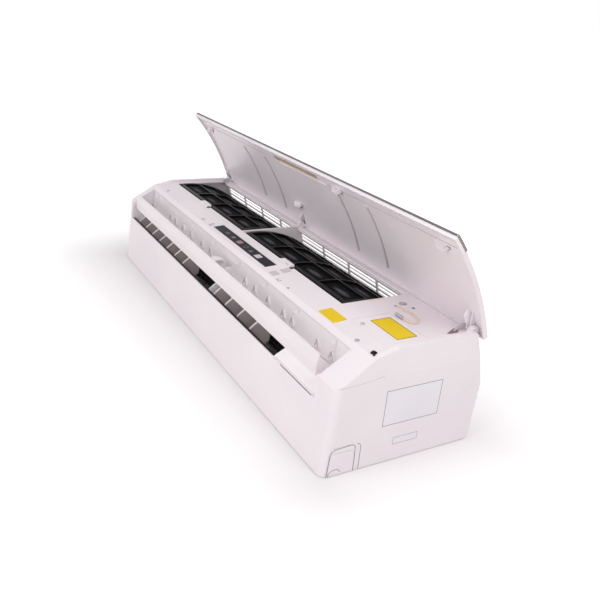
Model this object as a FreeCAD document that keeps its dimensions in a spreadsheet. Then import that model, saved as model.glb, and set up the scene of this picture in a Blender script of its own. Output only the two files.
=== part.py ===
import FreeCAD, Part
import math
import os
import Sketcher

# Wall mounted fan coil unit, held as on the wall: +Z up, the front towards -Y, the wall the plane Y = 0.
# Heights are measured up from the bottom edge; every piece is then set down by plate_height, so that the
# origin is the middle of the wall plate's screw pattern.

SIZES = (
    # the moulded case
    ("case_length", 940),
    ("case_height", 275),
    ("front_depth", 180),
    ("rim_depth", 186),
    ("rim_width", 14),
    ("rim_knee", 112),
    ("case_skin", 2.5),
    ("end_wall", 5),
    ("bottom_depth", 138),
    ("bottom_rise", 10),
    ("chamfer_depth", 176),
    ("chamfer_height", 70),
    ("ledge_height", 121),
    ("front_drop", 22),
    ("crown_depth", 98),
    ("rear_drop", 5),
    ("rear_bevel", 8),
    ("end_round", 14),
    ("edge_round", 4),
    ("crease_depth", 146),
    ("crease_taper", 4),
    ("seam_gap", 0.5),
    # the bays along the length
    ("left_bay", 24),
    ("right_bay", 184),
    ("bay_wall", 3),
    ("window_margin", 12),
    # the air outlet
    ("lip_depth", 103),
    ("outlet_top", 61),
    ("outlet_margin", 50),
    ("throat_slope", 36.7),
    ("throat_length", 64),
    # the inlet grille
    ("grille_thick", 3),
    ("grille_bar", 3),
    ("grille_slot", 13),
    ("grille_post", 4),
    # the front panel
    ("panel_radius", 470),
    ("panel_thick", 3),
    ("panel_lip", 5),
    ("panel_low", 79),
    ("panel_rise", 17),
    ("panel_bulge", 23),
    ("view_low", 98),
    ("view_height", 12),
    ("panel_open", 60),
    ("hinge_rise", 5),
    ("hinge_pin", 5),
    ("gusset_thick", 3),
    ("trim_thick", 1.5),
    ("trim_height", 9),
    # the air filters
    ("filter_radius", 195),
    ("filter_mid", 145),
    ("filter_thick", 5),
    ("filter_edge", 8),
    ("filter_rib", 4),
    ("net_thick", 0.8),
    # fan, motor and coil
    ("fan_depth", 75),
    ("fan_height", 112),
    ("fan_diameter", 92),
    ("blade_count", 24),
    ("blade_depth", 12),
    ("blade_thick", 1.6),
    ("disc_thick", 3),
    ("shaft_diameter", 8),
    ("motor_diameter", 80),
    ("motor_length", 68),
    ("coil_thick", 22),
    ("coil_lower_run", 70),
    ("coil_fold_gap", 15),
    ("coil_top_gap", 25),
    ("coil_plate", 1.5),
    ("tube_diameter", 7),
    ("bend_radius", 10.5),
    ("pipe_diameter", 12.7),
    ("pipe_wall", 1),
    # louver and vanes
    ("louver_chord", 35),
    ("louver_thick", 4),
    ("louver_drop", 16),
    ("louver_inset", 20.63),
    ("louver_pin", 5),
    ("vane_height", 40),
    ("vane_front", 16),
    ("vane_rear", 22),
    ("vane_thick", 1.6),
    ("vane_pin", 4),
    ("vane_turn", 42),
    ("vane_pitch_left", 48.5),
    ("vane_pitch_right", 52),
    ("link_reach", 30),
    ("link_pin", 3),
    # wall plate and fits
    ("plate_drop", 85),
    ("plate_length", 640),
    ("plate_width", 120),
    ("plate_thick", 1.5),
    ("screw_span", 400),
    ("screw_rise", 90),
    ("screw_hole", 6),
    ("back_recess", 9),
    ("back_wall", 3),
    ("pin_clearance", 0.05),
    ("slip", 0.3),
)

doc = FreeCAD.newDocument("FanCoilUnit")
sheet = doc.addObject("Spreadsheet::Sheet", "Dims")


class Size:
    """A size and the text that binds it to the sheet."""

    def __init__(self, value, text):
        self.value = value
        self.text = text

    def __add__(self, other):
        return Size(self.value + num(other), "(%s + %s)" % (self.text, txt(other)))

    def __radd__(self, other):
        return Size(num(other) + self.value, "(%s + %s)" % (txt(other), self.text))

    def __sub__(self, other):
        return Size(self.value - num(other), "(%s - %s)" % (self.text, txt(other)))

    def __rsub__(self, other):
        return Size(num(other) - self.value, "(%s - %s)" % (txt(other), self.text))

    def __mul__(self, other):
        return Size(self.value * num(other), "(%s * %s)" % (self.text, txt(other)))

    __rmul__ = __mul__

    def __truediv__(self, other):
        return Size(self.value / num(other), "(%s / %s)" % (self.text, txt(other)))

    def __neg__(self):
        return Size(-self.value, "(-1 * %s)" % self.text)


def num(item):
    return item.value if isinstance(item, Size) else float(item)


def txt(item):
    return item.text if isinstance(item, Size) else "(%r)" % float(item)


def cosine(angle):
    return Size(math.cos(math.radians(num(angle))), "cos(%s)" % txt(angle))


def sine(angle):
    return Size(math.sin(math.radians(num(angle))), "sin(%s)" % txt(angle))


def root(item):
    return Size(math.sqrt(num(item)), "sqrt(%s)" % txt(item))


class Named:
    """The sizes by name."""


s = Named()
for row, (word, amount) in enumerate(SIZES, 1):
    sheet.set("A%d" % row, word)
    sheet.set("B%d" % row, str(amount))
    sheet.setAlias("B%d" % row, word)
    setattr(s, word, Size(float(amount), "Dims." + word))
doc.recompute()

PLANES = {
    "YZ": (FreeCAD.Rotation(FreeCAD.Vector(1, 1, 1), 120), FreeCAD.Vector(1, 0, 0), "x"),
    "XZ": (FreeCAD.Rotation(FreeCAD.Vector(1, 0, 0), 90), FreeCAD.Vector(0, -1, 0), "y"),
    "XY": (FreeCAD.Rotation(), FreeCAD.Vector(0, 0, 1), "z"),
}
TURNS = {
    "X": FreeCAD.Rotation(FreeCAD.Vector(0, 1, 0), 90),
    "Y": FreeCAD.Rotation(FreeCAD.Vector(1, 0, 0), -90),
    "Z": FreeCAD.Rotation(),
}
nodes = []


def bind(obj, prop, item):
    obj.setExpression(prop, txt(item))


def place(obj, x, y, z):
    bind(obj, "Placement.Base.x", x)
    bind(obj, "Placement.Base.y", y)
    bind(obj, "Placement.Base.z", z)
    return obj


def polygon(sketch, points):
    """Closed outline whose corners are held at the given sizes."""
    spots = [FreeCAD.Vector(num(a), num(b), 0) for a, b in points]
    count = len(spots)
    for i in range(count):
        sketch.addGeometry(Part.LineSegment(spots[i], spots[(i + 1) % count]))
    for i in range(count):
        sketch.addConstraint(Sketcher.Constraint("Coincident", i, 2, (i + 1) % count, 1))
    for i, (a, b) in enumerate(points):
        for kind, item in (("DistanceX", a), ("DistanceY", b)):
            at = sketch.addConstraint(Sketcher.Constraint(kind, -1, 1, i, 1, num(item)))
            sketch.setExpression("Constraints[%d]" % at, txt(item))


def circle(sketch, a, b, radius):
    """A circle held at the given place and radius."""
    spot = FreeCAD.Vector(num(a), num(b), 0)
    curve = sketch.addGeometry(Part.Circle(spot, FreeCAD.Vector(0, 0, 1), num(radius)))
    for kind, item in (("DistanceX", a), ("DistanceY", b)):
        if abs(num(item)) < 1e-9:
            axis = -2 if kind == "DistanceX" else -1
            sketch.addConstraint(Sketcher.Constraint("PointOnObject", curve, 3, axis))
            continue
        at = sketch.addConstraint(Sketcher.Constraint(kind, -1, 1, curve, 3, num(item)))
        sketch.setExpression("Constraints[%d]" % at, txt(item))
    at = sketch.addConstraint(Sketcher.Constraint("Radius", curve, num(radius)))
    sketch.setExpression("Constraints[%d]" % at, txt(radius))


def prism(name, points, start, end, plane="YZ"):
    """The outline in that plane, drawn out from start to end along the plane's normal."""
    turn, way, axis = PLANES[plane]
    sketch = doc.addObject("Sketcher::SketchObject", name + "Outline")
    sketch.Placement = FreeCAD.Placement(FreeCAD.Vector(), turn)
    bind(sketch, "Placement.Base." + axis, start)
    polygon(sketch, points)
    solid = doc.addObject("Part::Extrusion", name)
    solid.Base = sketch
    solid.DirMode = "Custom"
    solid.Dir = way
    solid.Solid = True
    bind(solid, "LengthFwd", (start - end) if axis == "y" else (end - start))
    return solid


def block(name, x0, x1, y0, y1, z0, z1):
    solid = doc.addObject("Part::Box", name)
    bind(solid, "Length", x1 - x0)
    bind(solid, "Width", y1 - y0)
    bind(solid, "Height", z1 - z0)
    return place(solid, x0, y0, z0)


def rod(name, axis, radius, start, end, a, b):
    """Round bar along an axis, from start to end, at the two other coordinates a and b."""
    solid = doc.addObject("Part::Cylinder", name)
    solid.Placement = FreeCAD.Placement(FreeCAD.Vector(), TURNS[axis])
    bind(solid, "Radius", radius)
    bind(solid, "Height", end - start)
    spot = {"X": (start, a, b), "Y": (a, start, b), "Z": (a, b, start)}[axis]
    return place(solid, *spot)


def sector(name, centre, inner, outer, low, high, start, end):
    """Part of a tube about an X axis: between two radii and two elevations seen from the axis."""
    pair = []
    for radius in (outer, inner):
        solid = doc.addObject("Part::Cylinder", name + "Round")
        turn = FreeCAD.Rotation(FreeCAD.Vector(1, 0, 0), -90 - high)
        solid.Placement = FreeCAD.Placement(FreeCAD.Vector(), turn.multiply(TURNS["X"]))
        bind(solid, "Radius", radius)
        bind(solid, "Height", end - start)
        solid.Angle = high - low
        place(solid, start, *centre)
        pair.append(solid)
    return cut(name, pair[0], pair[1:])


def fuse(name, shapes):
    solid = doc.addObject("Part::MultiFuse", name)
    solid.Shapes = shapes
    return solid


def group(name, shapes):
    solid = doc.addObject("Part::Compound", name)
    solid.Links = shapes
    return solid


def cut(name, base, tools):
    solid = doc.addObject("Part::Cut", name)
    solid.Base = base
    solid.Tool = tools[0] if len(tools) == 1 else group(name + "Tools", tools)
    return solid


def node(label, shapes, placement=None):
    """One named piece of the unit, set down to the level of the screw pattern."""
    piece = group(label, shapes)
    piece.Label = label
    if placement is None:
        bind(piece, "Placement.Base.z", -plate_height)
    else:
        piece.Placement = FreeCAD.Placement(FreeCAD.Vector(0, 0, -num(plate_height)), FreeCAD.Rotation())
        piece.Placement = piece.Placement.multiply(placement)
    nodes.append(piece)
    return piece


def body_sketch(body, name, plane, offset=None):
    """Sketch on one of the body's own origin planes, moved along its normal."""
    sketch = body.newObject("Sketcher::SketchObject", name)
    flat = [f for f in body.Origin.OriginFeatures if f.Role == plane + "_Plane"][0]
    sketch.AttachmentSupport = [(flat, "")]
    sketch.MapMode = "FlatFace"
    if offset is not None:
        bind(sketch, "AttachmentOffset.Base.z", offset)
    return sketch


def pad(body, sketch, length):
    feature = body.newObject("PartDesign::Pad", sketch.Name + "Pad")
    feature.Profile = sketch
    bind(feature, "Length", length)
    body.Tip = feature
    doc.recompute()
    return feature


def edges_at(shape, spots):
    """Names of the edges along X that pass through the given corners of the YZ outline."""
    found = []
    for number, edge in enumerate(shape.Edges, 1):
        ends = [v.Point for v in edge.Vertexes]
        if len(ends) != 2 or abs(ends[0].x - ends[1].x) < 1e-6:
            continue
        for y, z in spots:
            if all(abs(e.y - num(y)) < 1e-4 and abs(e.z - num(z)) < 1e-4 for e in ends):
                found.append("Edge%d" % number)
    return found


def fillet(body, radius, names):
    base = body.Tip
    feature = body.newObject("PartDesign::Fillet", body.Name + "Round")
    feature.Base = (base, names)
    bind(feature, "Radius", radius)
    body.Tip = feature
    doc.recompute()
    return feature


# Places along the length: the air channel runs from left_end to right_end.
half = s.case_length / 2
plate_height = s.case_height - s.plate_drop
left_end = -half + s.left_bay
right_end = half - s.right_bay
window_left = left_end - 2
window_right = right_end + s.window_margin
window_mid = (window_left + window_right) / 2
outlet_right = half - s.outlet_margin

# Corners of the end profile, from the wall round the front to the wall again.
top_front = s.case_height - s.front_drop
top_rear = s.case_height - s.rear_drop
corner_a = (-s.seam_gap, 0.2)
corner_b = (-s.bottom_depth, s.bottom_rise)
corner_c = (-s.chamfer_depth, s.chamfer_height)
corner_n = (-s.rim_depth, s.rim_knee)
corner_d = (-s.rim_depth, top_front)
corner_e = (-s.crown_depth, s.case_height)
corner_f = (-s.rear_bevel, top_rear)
corner_g = (-s.seam_gap, top_rear - s.rear_bevel)
slope = s.front_drop / (s.rim_depth - s.crown_depth)


def roof(depth):
    """Height of the sloping top in front of the crown, at a depth from the wall."""
    return s.case_height - (depth - s.crown_depth) * slope


def ledge(height, inset):
    """Point of the front ledge at a height, set back from its face."""
    lean = (s.front_depth - s.chamfer_depth) / (s.ledge_height - s.chamfer_height)
    return (inset - s.chamfer_depth - (height - s.chamfer_height) * lean, height)


def chamfer(height, inset):
    """Point of the sloping outlet face at a height, set back from its face."""
    lean = (s.chamfer_depth - s.bottom_depth) / (s.chamfer_height - s.bottom_rise)
    return (inset - s.bottom_depth - (height - s.bottom_rise) * lean, height)


hinge = (-s.rim_depth, top_front + s.hinge_rise)
fan_axis = (-s.fan_depth, s.fan_height)

# Throat of the outlet: the floor runs back and up from the lip.
run_y = cosine(s.throat_slope)
run_z = sine(s.throat_slope)
lip = (-s.lip_depth, s.bottom_rise * s.lip_depth / s.bottom_depth + 0.3)


def throat(along, above):
    """Point by its way along the throat floor from the lip and its height above the floor."""
    return (lip[0] + along * run_y - above * run_z, lip[1] + along * run_z + above * run_y)


pivot = chamfer(lip[1] + s.louver_drop + 12.5, s.louver_inset)
pan_front = chamfer(s.outlet_top + 3, s.case_skin * 1.176 + s.slip)
pan_rear = (-s.fan_depth - 53, s.outlet_top - 1)

# front_casing: one moulding with the ends, bottom, ledge, rims and filter divider.
shell = doc.addObject("PartDesign::Body", "CasingBlank")
profile = body_sketch(shell, "CasingProfile", "YZ", -half)
polygon(profile, (corner_a, corner_b, corner_c, corner_n, corner_d, corner_e, corner_f, corner_g))
pad(shell, profile, s.case_length)
ends = []
for number, edge in enumerate(shell.Shape.Edges, 1):
    spots = [v.Point for v in edge.Vertexes]
    flat = abs(spots[0].x - spots[1].x) < 1e-6
    if flat and all(p.z < num(s.bottom_rise) + 1e-3 for p in spots):
        ends.append("Edge%d" % number)
fillet(shell, s.end_round, ends)
fillet(shell, s.edge_round, edges_at(shell.Shape, (corner_d, corner_f)))

hollow = doc.addObject("PartDesign::Body", "CasingHollow")
inside = body_sketch(hollow, "HollowProfile", "YZ", -half + s.end_wall)
polygon(inside, (
    (5, s.case_skin + 0.2),
    (-s.seam_gap, s.case_skin + 0.2),
    (-s.bottom_depth + s.case_skin * 0.58, s.bottom_rise + s.case_skin * 0.96),
    (-s.chamfer_depth + s.case_skin * 0.97, s.chamfer_height + s.case_skin * 0.33),
    ledge(s.ledge_height, s.case_skin),
    (-s.front_depth + s.case_skin, roof(s.front_depth) - s.case_skin),
    (-s.crown_depth, s.case_height - s.case_skin),
    (-s.rear_bevel, top_rear - s.case_skin),
    (5, top_rear - s.case_skin),
))
pad(hollow, inside, s.case_length - s.end_wall * 2)
ends = []
for number, edge in enumerate(hollow.Shape.Edges, 1):
    spots = [v.Point for v in edge.Vertexes]
    flat = abs(spots[0].x - spots[1].x) < 1e-6
    if flat and all(p.z < num(s.bottom_rise + s.case_skin) + 1e-3 for p in spots):
        ends.append("Edge%d" % number)
fillet(hollow, s.end_round - s.case_skin, ends)

recess = prism("FrontRecess", (
    (-s.rim_depth - 20, s.chamfer_height),
    corner_c,
    (-s.front_depth, s.ledge_height),
    (-s.front_depth, s.case_height + 10),
    (-s.rim_depth - 20, s.case_height + 10),
), -half + s.rim_width, half - s.rim_width)
grille_rear = -s.crown_depth + 72
window = prism("InletWindow", (
    (-s.rim_depth - 20, s.ledge_height),
    (-s.front_depth + 30, s.ledge_height),
    (-s.front_depth + 30, top_front - 6),
    (grille_rear, top_front - 6),
    (grille_rear, s.case_height + 20),
    (-s.rim_depth - 20, s.case_height + 20),
), window_left, window_right)
outlet = prism("OutletMouth", (
    (lip[0], -10),
    (lip[0], lip[1] + 20),
    chamfer(s.outlet_top, 12),
    chamfer(s.outlet_top, 0),
    chamfer(s.outlet_top, -30),
    (-s.bottom_depth - 40, -10),
), left_end, outlet_right)
tapers = []
for side in (-1, 1):
    near = half * side
    tapers.append(prism("EndTaper", (
        (near + side, -s.rim_depth - 5),
        (near - side * s.crease_taper * (s.rim_depth + 5 - s.crease_depth) / (s.rim_depth - s.crease_depth),
         -s.rim_depth - 5),
        (near + side * s.crease_taper / (s.rim_depth - s.crease_depth), -s.crease_depth + 1),
        (near + side, -s.crease_depth + 1),
    ), -5, s.case_height + 5, "XY"))
casing_shell = cut("CasingShell", shell, [hollow])
casing_open = cut("CasingOpen", cut("CasingFace", casing_shell, [recess]), [window])
casing_open = cut("CasingMouth", casing_open, [outlet])
casing_open = cut("CasingTaper", casing_open, tapers)

top_bar = prism("TopBar", (
    (-s.front_depth, roof(s.front_depth) - 7),
    (-s.front_depth, roof(s.front_depth)),
    (-s.front_depth + 8, roof(s.front_depth - 8)),
    (-s.front_depth + 8, roof(s.front_depth) - 7),
), window_left - 1, window_right + 1)
web = s.gusset_thick / 2 + 1


def arc_depth(height, inset):
    """Depth of the filter's curve at a height, set back from its outer face."""
    rise = height - s.filter_mid
    reach = s.filter_radius - inset
    return s.filter_radius - s.front_depth - root(reach * reach - rise * rise)


divider = prism("FilterDivider", (
    (-s.front_depth, s.ledge_height - 3),
    (-s.front_depth, roof(s.front_depth) - 2),
    (-s.front_depth + 8, roof(s.front_depth - 8) - 3.5),
    (-s.front_depth + 30, roof(s.front_depth - 30) - 3.5),
    (-s.front_depth + 42, roof(s.front_depth - 30) - 3.5),
    (arc_depth(s.filter_mid + 75, 10), s.filter_mid + 75),
    (arc_depth(s.filter_mid + 35, 10), s.filter_mid + 35),
    (arc_depth(s.filter_mid - 20, 10), s.filter_mid - 20),
    (arc_depth(s.filter_mid - 20, 10), s.ledge_height - 3),
), window_mid - web, window_mid + web)


def lug(start, end):
    """Ear that carries a hinge pin of the front panel."""
    return prism("HingeLug", (
        (-s.front_depth + 0.5, roof(s.front_depth) - 10),
        (hinge[0] - 4, hinge[1] - 5),
        (hinge[0] - 4, hinge[1] + 3),
        (hinge[0] + 1, hinge[1] + 5),
        (hinge[0] + 6, hinge[1] + 3),
        (-s.front_depth + 7, roof(s.front_depth - 7) - 1),
        (-s.front_depth + 7, roof(s.front_depth) - 7),
    ), start, end)


lug_out = half - s.rim_width + 0.5
lug_in = half - s.rim_width - 9
lugs = [lug(lug_in, lug_out), lug(-lug_out, -lug_in), lug(window_mid - web, window_mid + web)]
side_walls = []
for start, end in ((left_end - s.bay_wall, left_end), (outlet_right, outlet_right + s.bay_wall)):
    side_walls.append(prism("OutletSide", (
        (lip[0] + 2, lip[1] + 1),
        (-s.bottom_depth + 0.3, s.bottom_rise + 1),
        chamfer(s.outlet_top + 1, 0.5),
        (pan_front[0], pan_front[1] - s.slip),
        (pan_rear[0], pan_rear[1] - s.slip),
        throat(12, 40),
        throat(12, 3),
    ), start, end))
casing_whole = fuse("CasingWhole", [casing_open, top_bar, divider] + lugs + side_walls)

pin_hole = s.hinge_pin / 2 + s.pin_clearance
louver_hole = s.louver_pin / 2 + s.pin_clearance
display_low = s.chamfer_height + 9
display_high = display_low + 23
display_left = -half + 346
display_right = display_left + 236
button_x = display_right + 31
button_z = display_low + 13
cover_left = half - 118
cover_right = half - s.rim_width - 4
cover_low = s.ledge_height - 19
cover_high = s.ledge_height + 55
ledge_screws = [
    (half - 22, s.chamfer_height + 8),
    (half - 60, s.chamfer_height + 6),
    (-half + 71, s.chamfer_height + 10),
    (display_left - 11, s.chamfer_height + 7),
]
face_screw = (window_right + 32, s.ledge_height + 96)
cover_screw = (cover_left + 19, cover_low + 9)
lead_spot = (window_right + 35, s.ledge_height + 80)
holes = [
    rod("HingeBore", "X", pin_hole, lug_in - 1, lug_in + 6, *hinge),
    rod("HingeBore", "X", pin_hole, -lug_in - 6, -lug_in + 1, *hinge),
    rod("HingeBore", "X", pin_hole, window_mid - 10, window_mid + 10, *hinge),
    rod("LouverBore", "X", louver_hole, left_end - s.bay_wall - 1, left_end + 1, *pivot),
    rod("LouverBore", "X", louver_hole, outlet_right - 1, outlet_right + s.bay_wall + 1, *pivot),
    prism("DisplayWindow", (
        ledge(display_low, -3),
        ledge(display_low, s.case_skin + 3),
        ledge(display_high, s.case_skin + 3),
        ledge(display_high, -3),
    ), display_left, display_right),
    block("ButtonWindow", button_x - 9, button_x + 9,
          -s.front_depth - 3, -s.chamfer_depth + 6, button_z - 4, button_z + 4),
    prism("CoverWindow", (
        ledge(cover_low, -3),
        ledge(cover_low, s.case_skin + 3),
        (-s.front_depth + s.case_skin + 3, s.ledge_height),
        (-s.front_depth + s.case_skin + 3, cover_high),
        (-s.front_depth - 3, cover_high),
        (-s.front_depth - 3, s.ledge_height),
    ), cover_left, cover_right),
    rod("LeadHole", "Y", 3.5, -s.front_depth - 3, -s.front_depth + 5, *lead_spot),
]
screw_hole = 2 + s.pin_clearance
for x, z in ledge_screws:
    holes.append(rod("ScrewHole", "Y", screw_hole, ledge(z, -2)[0], ledge(z, 6)[0], x, z))
holes.append(rod("ScrewHole", "Y", screw_hole, -s.front_depth - 2, -s.front_depth + 6, *face_screw))
groove = 0.8
for side in (-1, 1):
    for shift in (0, 9):
        face = half * side
        for y0, y1, z0, z1 in (
            (-38 - shift, -38 - shift + groove, 16, 47),
            (-30, -1 - shift * 0, 54 + shift * 0.6, 54 + shift * 0.6 + groove),
        ):
            if shift and z0 > 50:
                continue
            start = face - groove if side > 0 else face - 1
            holes.append(block("KnockoutLine", start, start + groove + 1, y0, y1, z0, z1))
        bevel = prism("KnockoutLine", (
            (-38 - shift, 47),
            (-38 - shift + groove, 47),
            (-30 + groove - shift, 54 + groove),
            (-30 - shift, 54 + groove),
        ), face - groove if side > 0 else face - 1, (face - groove if side > 0 else face - 1) + groove + 1)
        holes.append(bevel)
node("front_casing", [cut("FrontCasing", casing_whole, holes)])

# rear_casing: the moulded base with back wall, fan scroll, throat floor and bay walls.
inner_half = half - s.end_wall - 3
back_face = -s.back_recess - s.back_wall
back_top = top_rear - s.case_skin - s.slip
vane_seat = 26
post_x = (left_end + right_end) / 2 + 80
hook_z = plate_height + 40
rim_low = plate_height - s.plate_width / 2 - 18


def from_fan(y, z):
    return (fan_axis[0] + y, fan_axis[1] + z)


def bay_outline():
    """Outline of the air channel that a bay wall closes."""
    return (
        throat(12.4, -1),
        throat(s.throat_length, -1),
        from_fan(50, -35),
        from_fan(59, 0),
        from_fan(59, 48),
        from_fan(-40, 48),
        from_fan(-52.4, 30),
        (pan_rear[0] + 0.6, pan_rear[1] + 2),
        throat(12.4, 40),
    )


scroll = prism("FanScroll", (
    throat(5, 0),
    throat(s.throat_length, 0),
    from_fan(49, -34),
    from_fan(58, 0),
    from_fan(58, 53),
    (back_face + 1, s.fan_height + 53),
    (back_face + 1, s.fan_height + 2),
    from_fan(61, -4),
    from_fan(51.5, -36),
    throat(s.throat_length + 1, -3),
    (lip[0] + 11, lip[1] + 2.2),
    (lip[0] + 5.5, lip[1] + 2.6),
), left_end - s.bay_wall, right_end + s.bay_wall)
base_parts = [
    block("BackWall", -inner_half, inner_half, back_face, -s.back_recess, rim_low, back_top),
    block("TopRim", -inner_half, inner_half, back_face, 0, back_top - 3, back_top),
    block("SideRim", -inner_half, -inner_half + 3, back_face, 0, rim_low, back_top),
    block("SideRim", inner_half - 3, inner_half, back_face, 0, rim_low, back_top),
    block("LowRim", -inner_half, inner_half, back_face, 0, rim_low, rim_low + 3),
    scroll,
    prism("LeftBayWall", bay_outline(), left_end - s.bay_wall, left_end),
    prism("RightBayWall", bay_outline(), right_end, right_end + s.bay_wall),
    prism("OutletBlank", (
        (lip[0] + 2.5, lip[1] + 3),
        (lip[0] + 6.5, lip[1] + 3),
        (pan_rear[0] + 4.4, pan_rear[1] - s.slip),
        (pan_rear[0] + 0.6, pan_rear[1] - s.slip),
    ), right_end + 1, outlet_right - s.slip),
    prism("ThroatPost", (
        throat(13, -1),
        throat(vane_seat, -1),
        throat(vane_seat, 30),
        throat(20, 46),
        throat(13, 46),
    ), post_x - 1.5, post_x + 1.5),
]
vane_left = [left_end + 20 + s.vane_pitch_left * i for i in range(7)]
vane_right = [post_x + 31 + s.vane_pitch_right * i for i in range(4)]
tilt = FreeCAD.Rotation(FreeCAD.Vector(1, 0, 0), num(s.throat_slope))
base_holes = [
    rod("BearingSeat", "X", 11 + s.pin_clearance, left_end - 10, left_end + 5, *fan_axis),
    rod("ShaftPassage", "X", 8, right_end - 5, right_end + 10, *fan_axis),
]
for x in vane_left + vane_right:
    hole = doc.addObject("Part::Cylinder", "VaneSeat")
    hole.Placement = FreeCAD.Placement(FreeCAD.Vector(), tilt)
    bind(hole, "Radius", s.vane_pin / 2 + s.pin_clearance)
    hole.Height = 10
    base_holes.append(place(hole, x, *throat(vane_seat, -9)))
for side in (-1, 1):
    base_holes.append(block("HookSlot", side * 150 - 10.6, side * 150 + 10.6,
                            back_face - 1, -s.back_recess + 1,
                            hook_z - 9, hook_z + s.plate_thick + s.slip))
node("rear_casing", [cut("RearCasing", fuse("RearCasingWhole", base_parts), base_holes)])

# wall_plate: pressed steel plate with four screw holes and two hooks.
plate = doc.addObject("PartDesign::Body", "PlateBlank")
outline = body_sketch(plate, "PlateOutline", "XZ")
polygon(outline, (
    (-s.plate_length / 2, plate_height - s.plate_width / 2),
    (s.plate_length / 2, plate_height - s.plate_width / 2),
    (s.plate_length / 2, plate_height + s.plate_width / 2),
    (-s.plate_length / 2, plate_height + s.plate_width / 2),
))
pad(plate, outline, s.plate_thick)
drill = body_sketch(plate, "PlateHoles", "XZ", s.plate_thick)
for across in (-1, 1):
    for up in (-1, 1):
        circle(drill, across * s.screw_span / 2, plate_height + up * s.screw_rise / 2, s.screw_hole / 2)
pocket = plate.newObject("PartDesign::Pocket", "PlateDrill")
pocket.Profile = drill
bind(pocket, "Length", s.plate_thick * 2)
plate.Tip = pocket
hooks = []
for side in (-1, 1):
    hooks.append(block("HookShelf", side * 150 - 10.0, side * 150 + 10.0,
                       back_face - 4, -s.plate_thick / 2, hook_z, hook_z + s.plate_thick))
    hooks.append(block("HookTip", side * 150 - 10.0, side * 150 + 10.0,
                       back_face - 4, back_face - 4 + s.plate_thick, hook_z, hook_z + 8))
node("wall_plate", [fuse("WallPlate", [plate] + hooks)])

# inlet_grille: bars and posts over the top of the filters.
grille_front = -s.front_depth + 8 + s.seam_gap
grille_back = grille_rear - s.seam_gap
back_roof = s.case_height - (grille_back + s.crown_depth) * (s.rear_drop / (s.crown_depth - s.rear_bevel))
band = prism("GrilleBand", (
    (grille_front, roof(-grille_front)),
    (-s.crown_depth, s.case_height),
    (grille_back, back_roof),
    (grille_back, back_roof - s.grille_thick),
    (-s.crown_depth, s.case_height - s.grille_thick),
    (grille_front, roof(-grille_front) - s.grille_thick),
), window_left + s.seam_gap, window_right - s.seam_gap)
bays = 8
bay = (window_right - window_left - s.grille_post - s.seam_gap * 2) / bays
slots = []
for row in range(8):
    front = grille_front + s.grille_bar * 2 + (s.grille_slot + s.grille_bar) * row
    for column in range(bays):
        start = window_left + s.seam_gap + s.grille_post + bay * column
        slots.append(block("GrilleSlot", start, start + bay - s.grille_post, front, front + s.grille_slot,
                           s.case_height - 50, s.case_height + 10))
node("inlet_grille", [cut("InletGrille", band, slots)])

# front_panel: curved panel, drawn closed and then turned open about its hinge.
panel_high = top_front + s.panel_rise + 3
panel_mid = (s.panel_low + panel_high) / 2
panel_axis = (s.panel_radius - s.front_depth - s.panel_bulge, panel_mid)
panel_half = half - s.trim_thick


def panel_angle(height):
    return math.degrees(math.asin((num(height) - num(panel_mid)) / num(s.panel_radius)))


def panel_part(name, inner, outer, low, high, start, end):
    return sector(name, panel_axis, s.panel_radius - inner, s.panel_radius - outer,
                  panel_angle(low), panel_angle(high), start, end)


skin = s.panel_thick
deep = s.panel_thick + s.panel_lip
panel_parts = [
    panel_part("PanelSkin", skin, 0, s.panel_low, panel_high, -panel_half, panel_half),
    panel_part("PanelLip", deep, skin - 0.5, s.panel_low, s.panel_low + 3, -panel_half, panel_half),
    panel_part("PanelLip", deep, skin - 0.5, panel_high - 3, panel_high, -panel_half, panel_half),
    panel_part("PanelEnd", deep, skin - 0.5, s.panel_low, panel_high, -panel_half, -panel_half + 3),
    panel_part("PanelEnd", deep, skin - 0.5, s.panel_low, panel_high, panel_half - 3, panel_half),
]
for x in (-252, -155, 130, 222):
    panel_parts.append(panel_part("PanelRib", skin + 1.5, skin - 0.5, s.panel_low + 38, panel_high - 22,
                                  x * s.case_length / 940 - 1.5, x * s.case_length / 940 + 1.5))


def gusset(start, end):
    """Arm from the back of the panel to the hinge line."""
    return prism("HingeArm", (
        (hinge[0] - 12.8, hinge[1] - 30),
        (hinge[0] + 3, hinge[1] - 3),
        (hinge[0] + 3, hinge[1] + 3),
        (hinge[0] - 7.8, hinge[1] + 9),
    ), start, end)


arm_gap = 0.7
arm_end = lug_in - arm_gap
arm_mid = window_mid + web + arm_gap
panel_parts += [
    gusset(arm_end - s.gusset_thick, arm_end),
    gusset(-arm_end, -arm_end + s.gusset_thick),
    gusset(arm_mid, arm_mid + s.gusset_thick),
    rod("HingePin", "X", s.hinge_pin / 2, arm_end - 1, lug_in + 5.5, *hinge),
    rod("HingePin", "X", s.hinge_pin / 2, -lug_in - 5.5, -arm_end + 1, *hinge),
    rod("HingePin", "X", s.hinge_pin / 2, window_mid - web - 1, arm_mid + 1, *hinge),
]
for x, z in (
    (-430, s.panel_low + 39),
    (-73, panel_high - 56),
    (148, s.panel_low + 31),
    (424, s.panel_low + 39),
):
    spot = x * s.case_length / 940
    rise = z - panel_mid
    inside = panel_axis[0] - root(s.panel_radius * s.panel_radius - rise * rise) + skin - 1
    panel_parts.append(block("PanelHook", spot - 4, spot + 4, inside, -s.front_depth - 7, z - 3.0, z + 3.0))
view_left = -90 * s.case_length / 940
view_right = 77 * s.case_length / 940
view_high = s.view_low + s.view_height
view_slot = panel_part("PanelView", 12, -5, s.view_low, view_high, view_left, view_right)
swing = FreeCAD.Placement(FreeCAD.Vector(), FreeCAD.Rotation(FreeCAD.Vector(1, 0, 0), -num(s.panel_open)),
                          FreeCAD.Vector(0, num(hinge[0]), num(hinge[1])))
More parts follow.
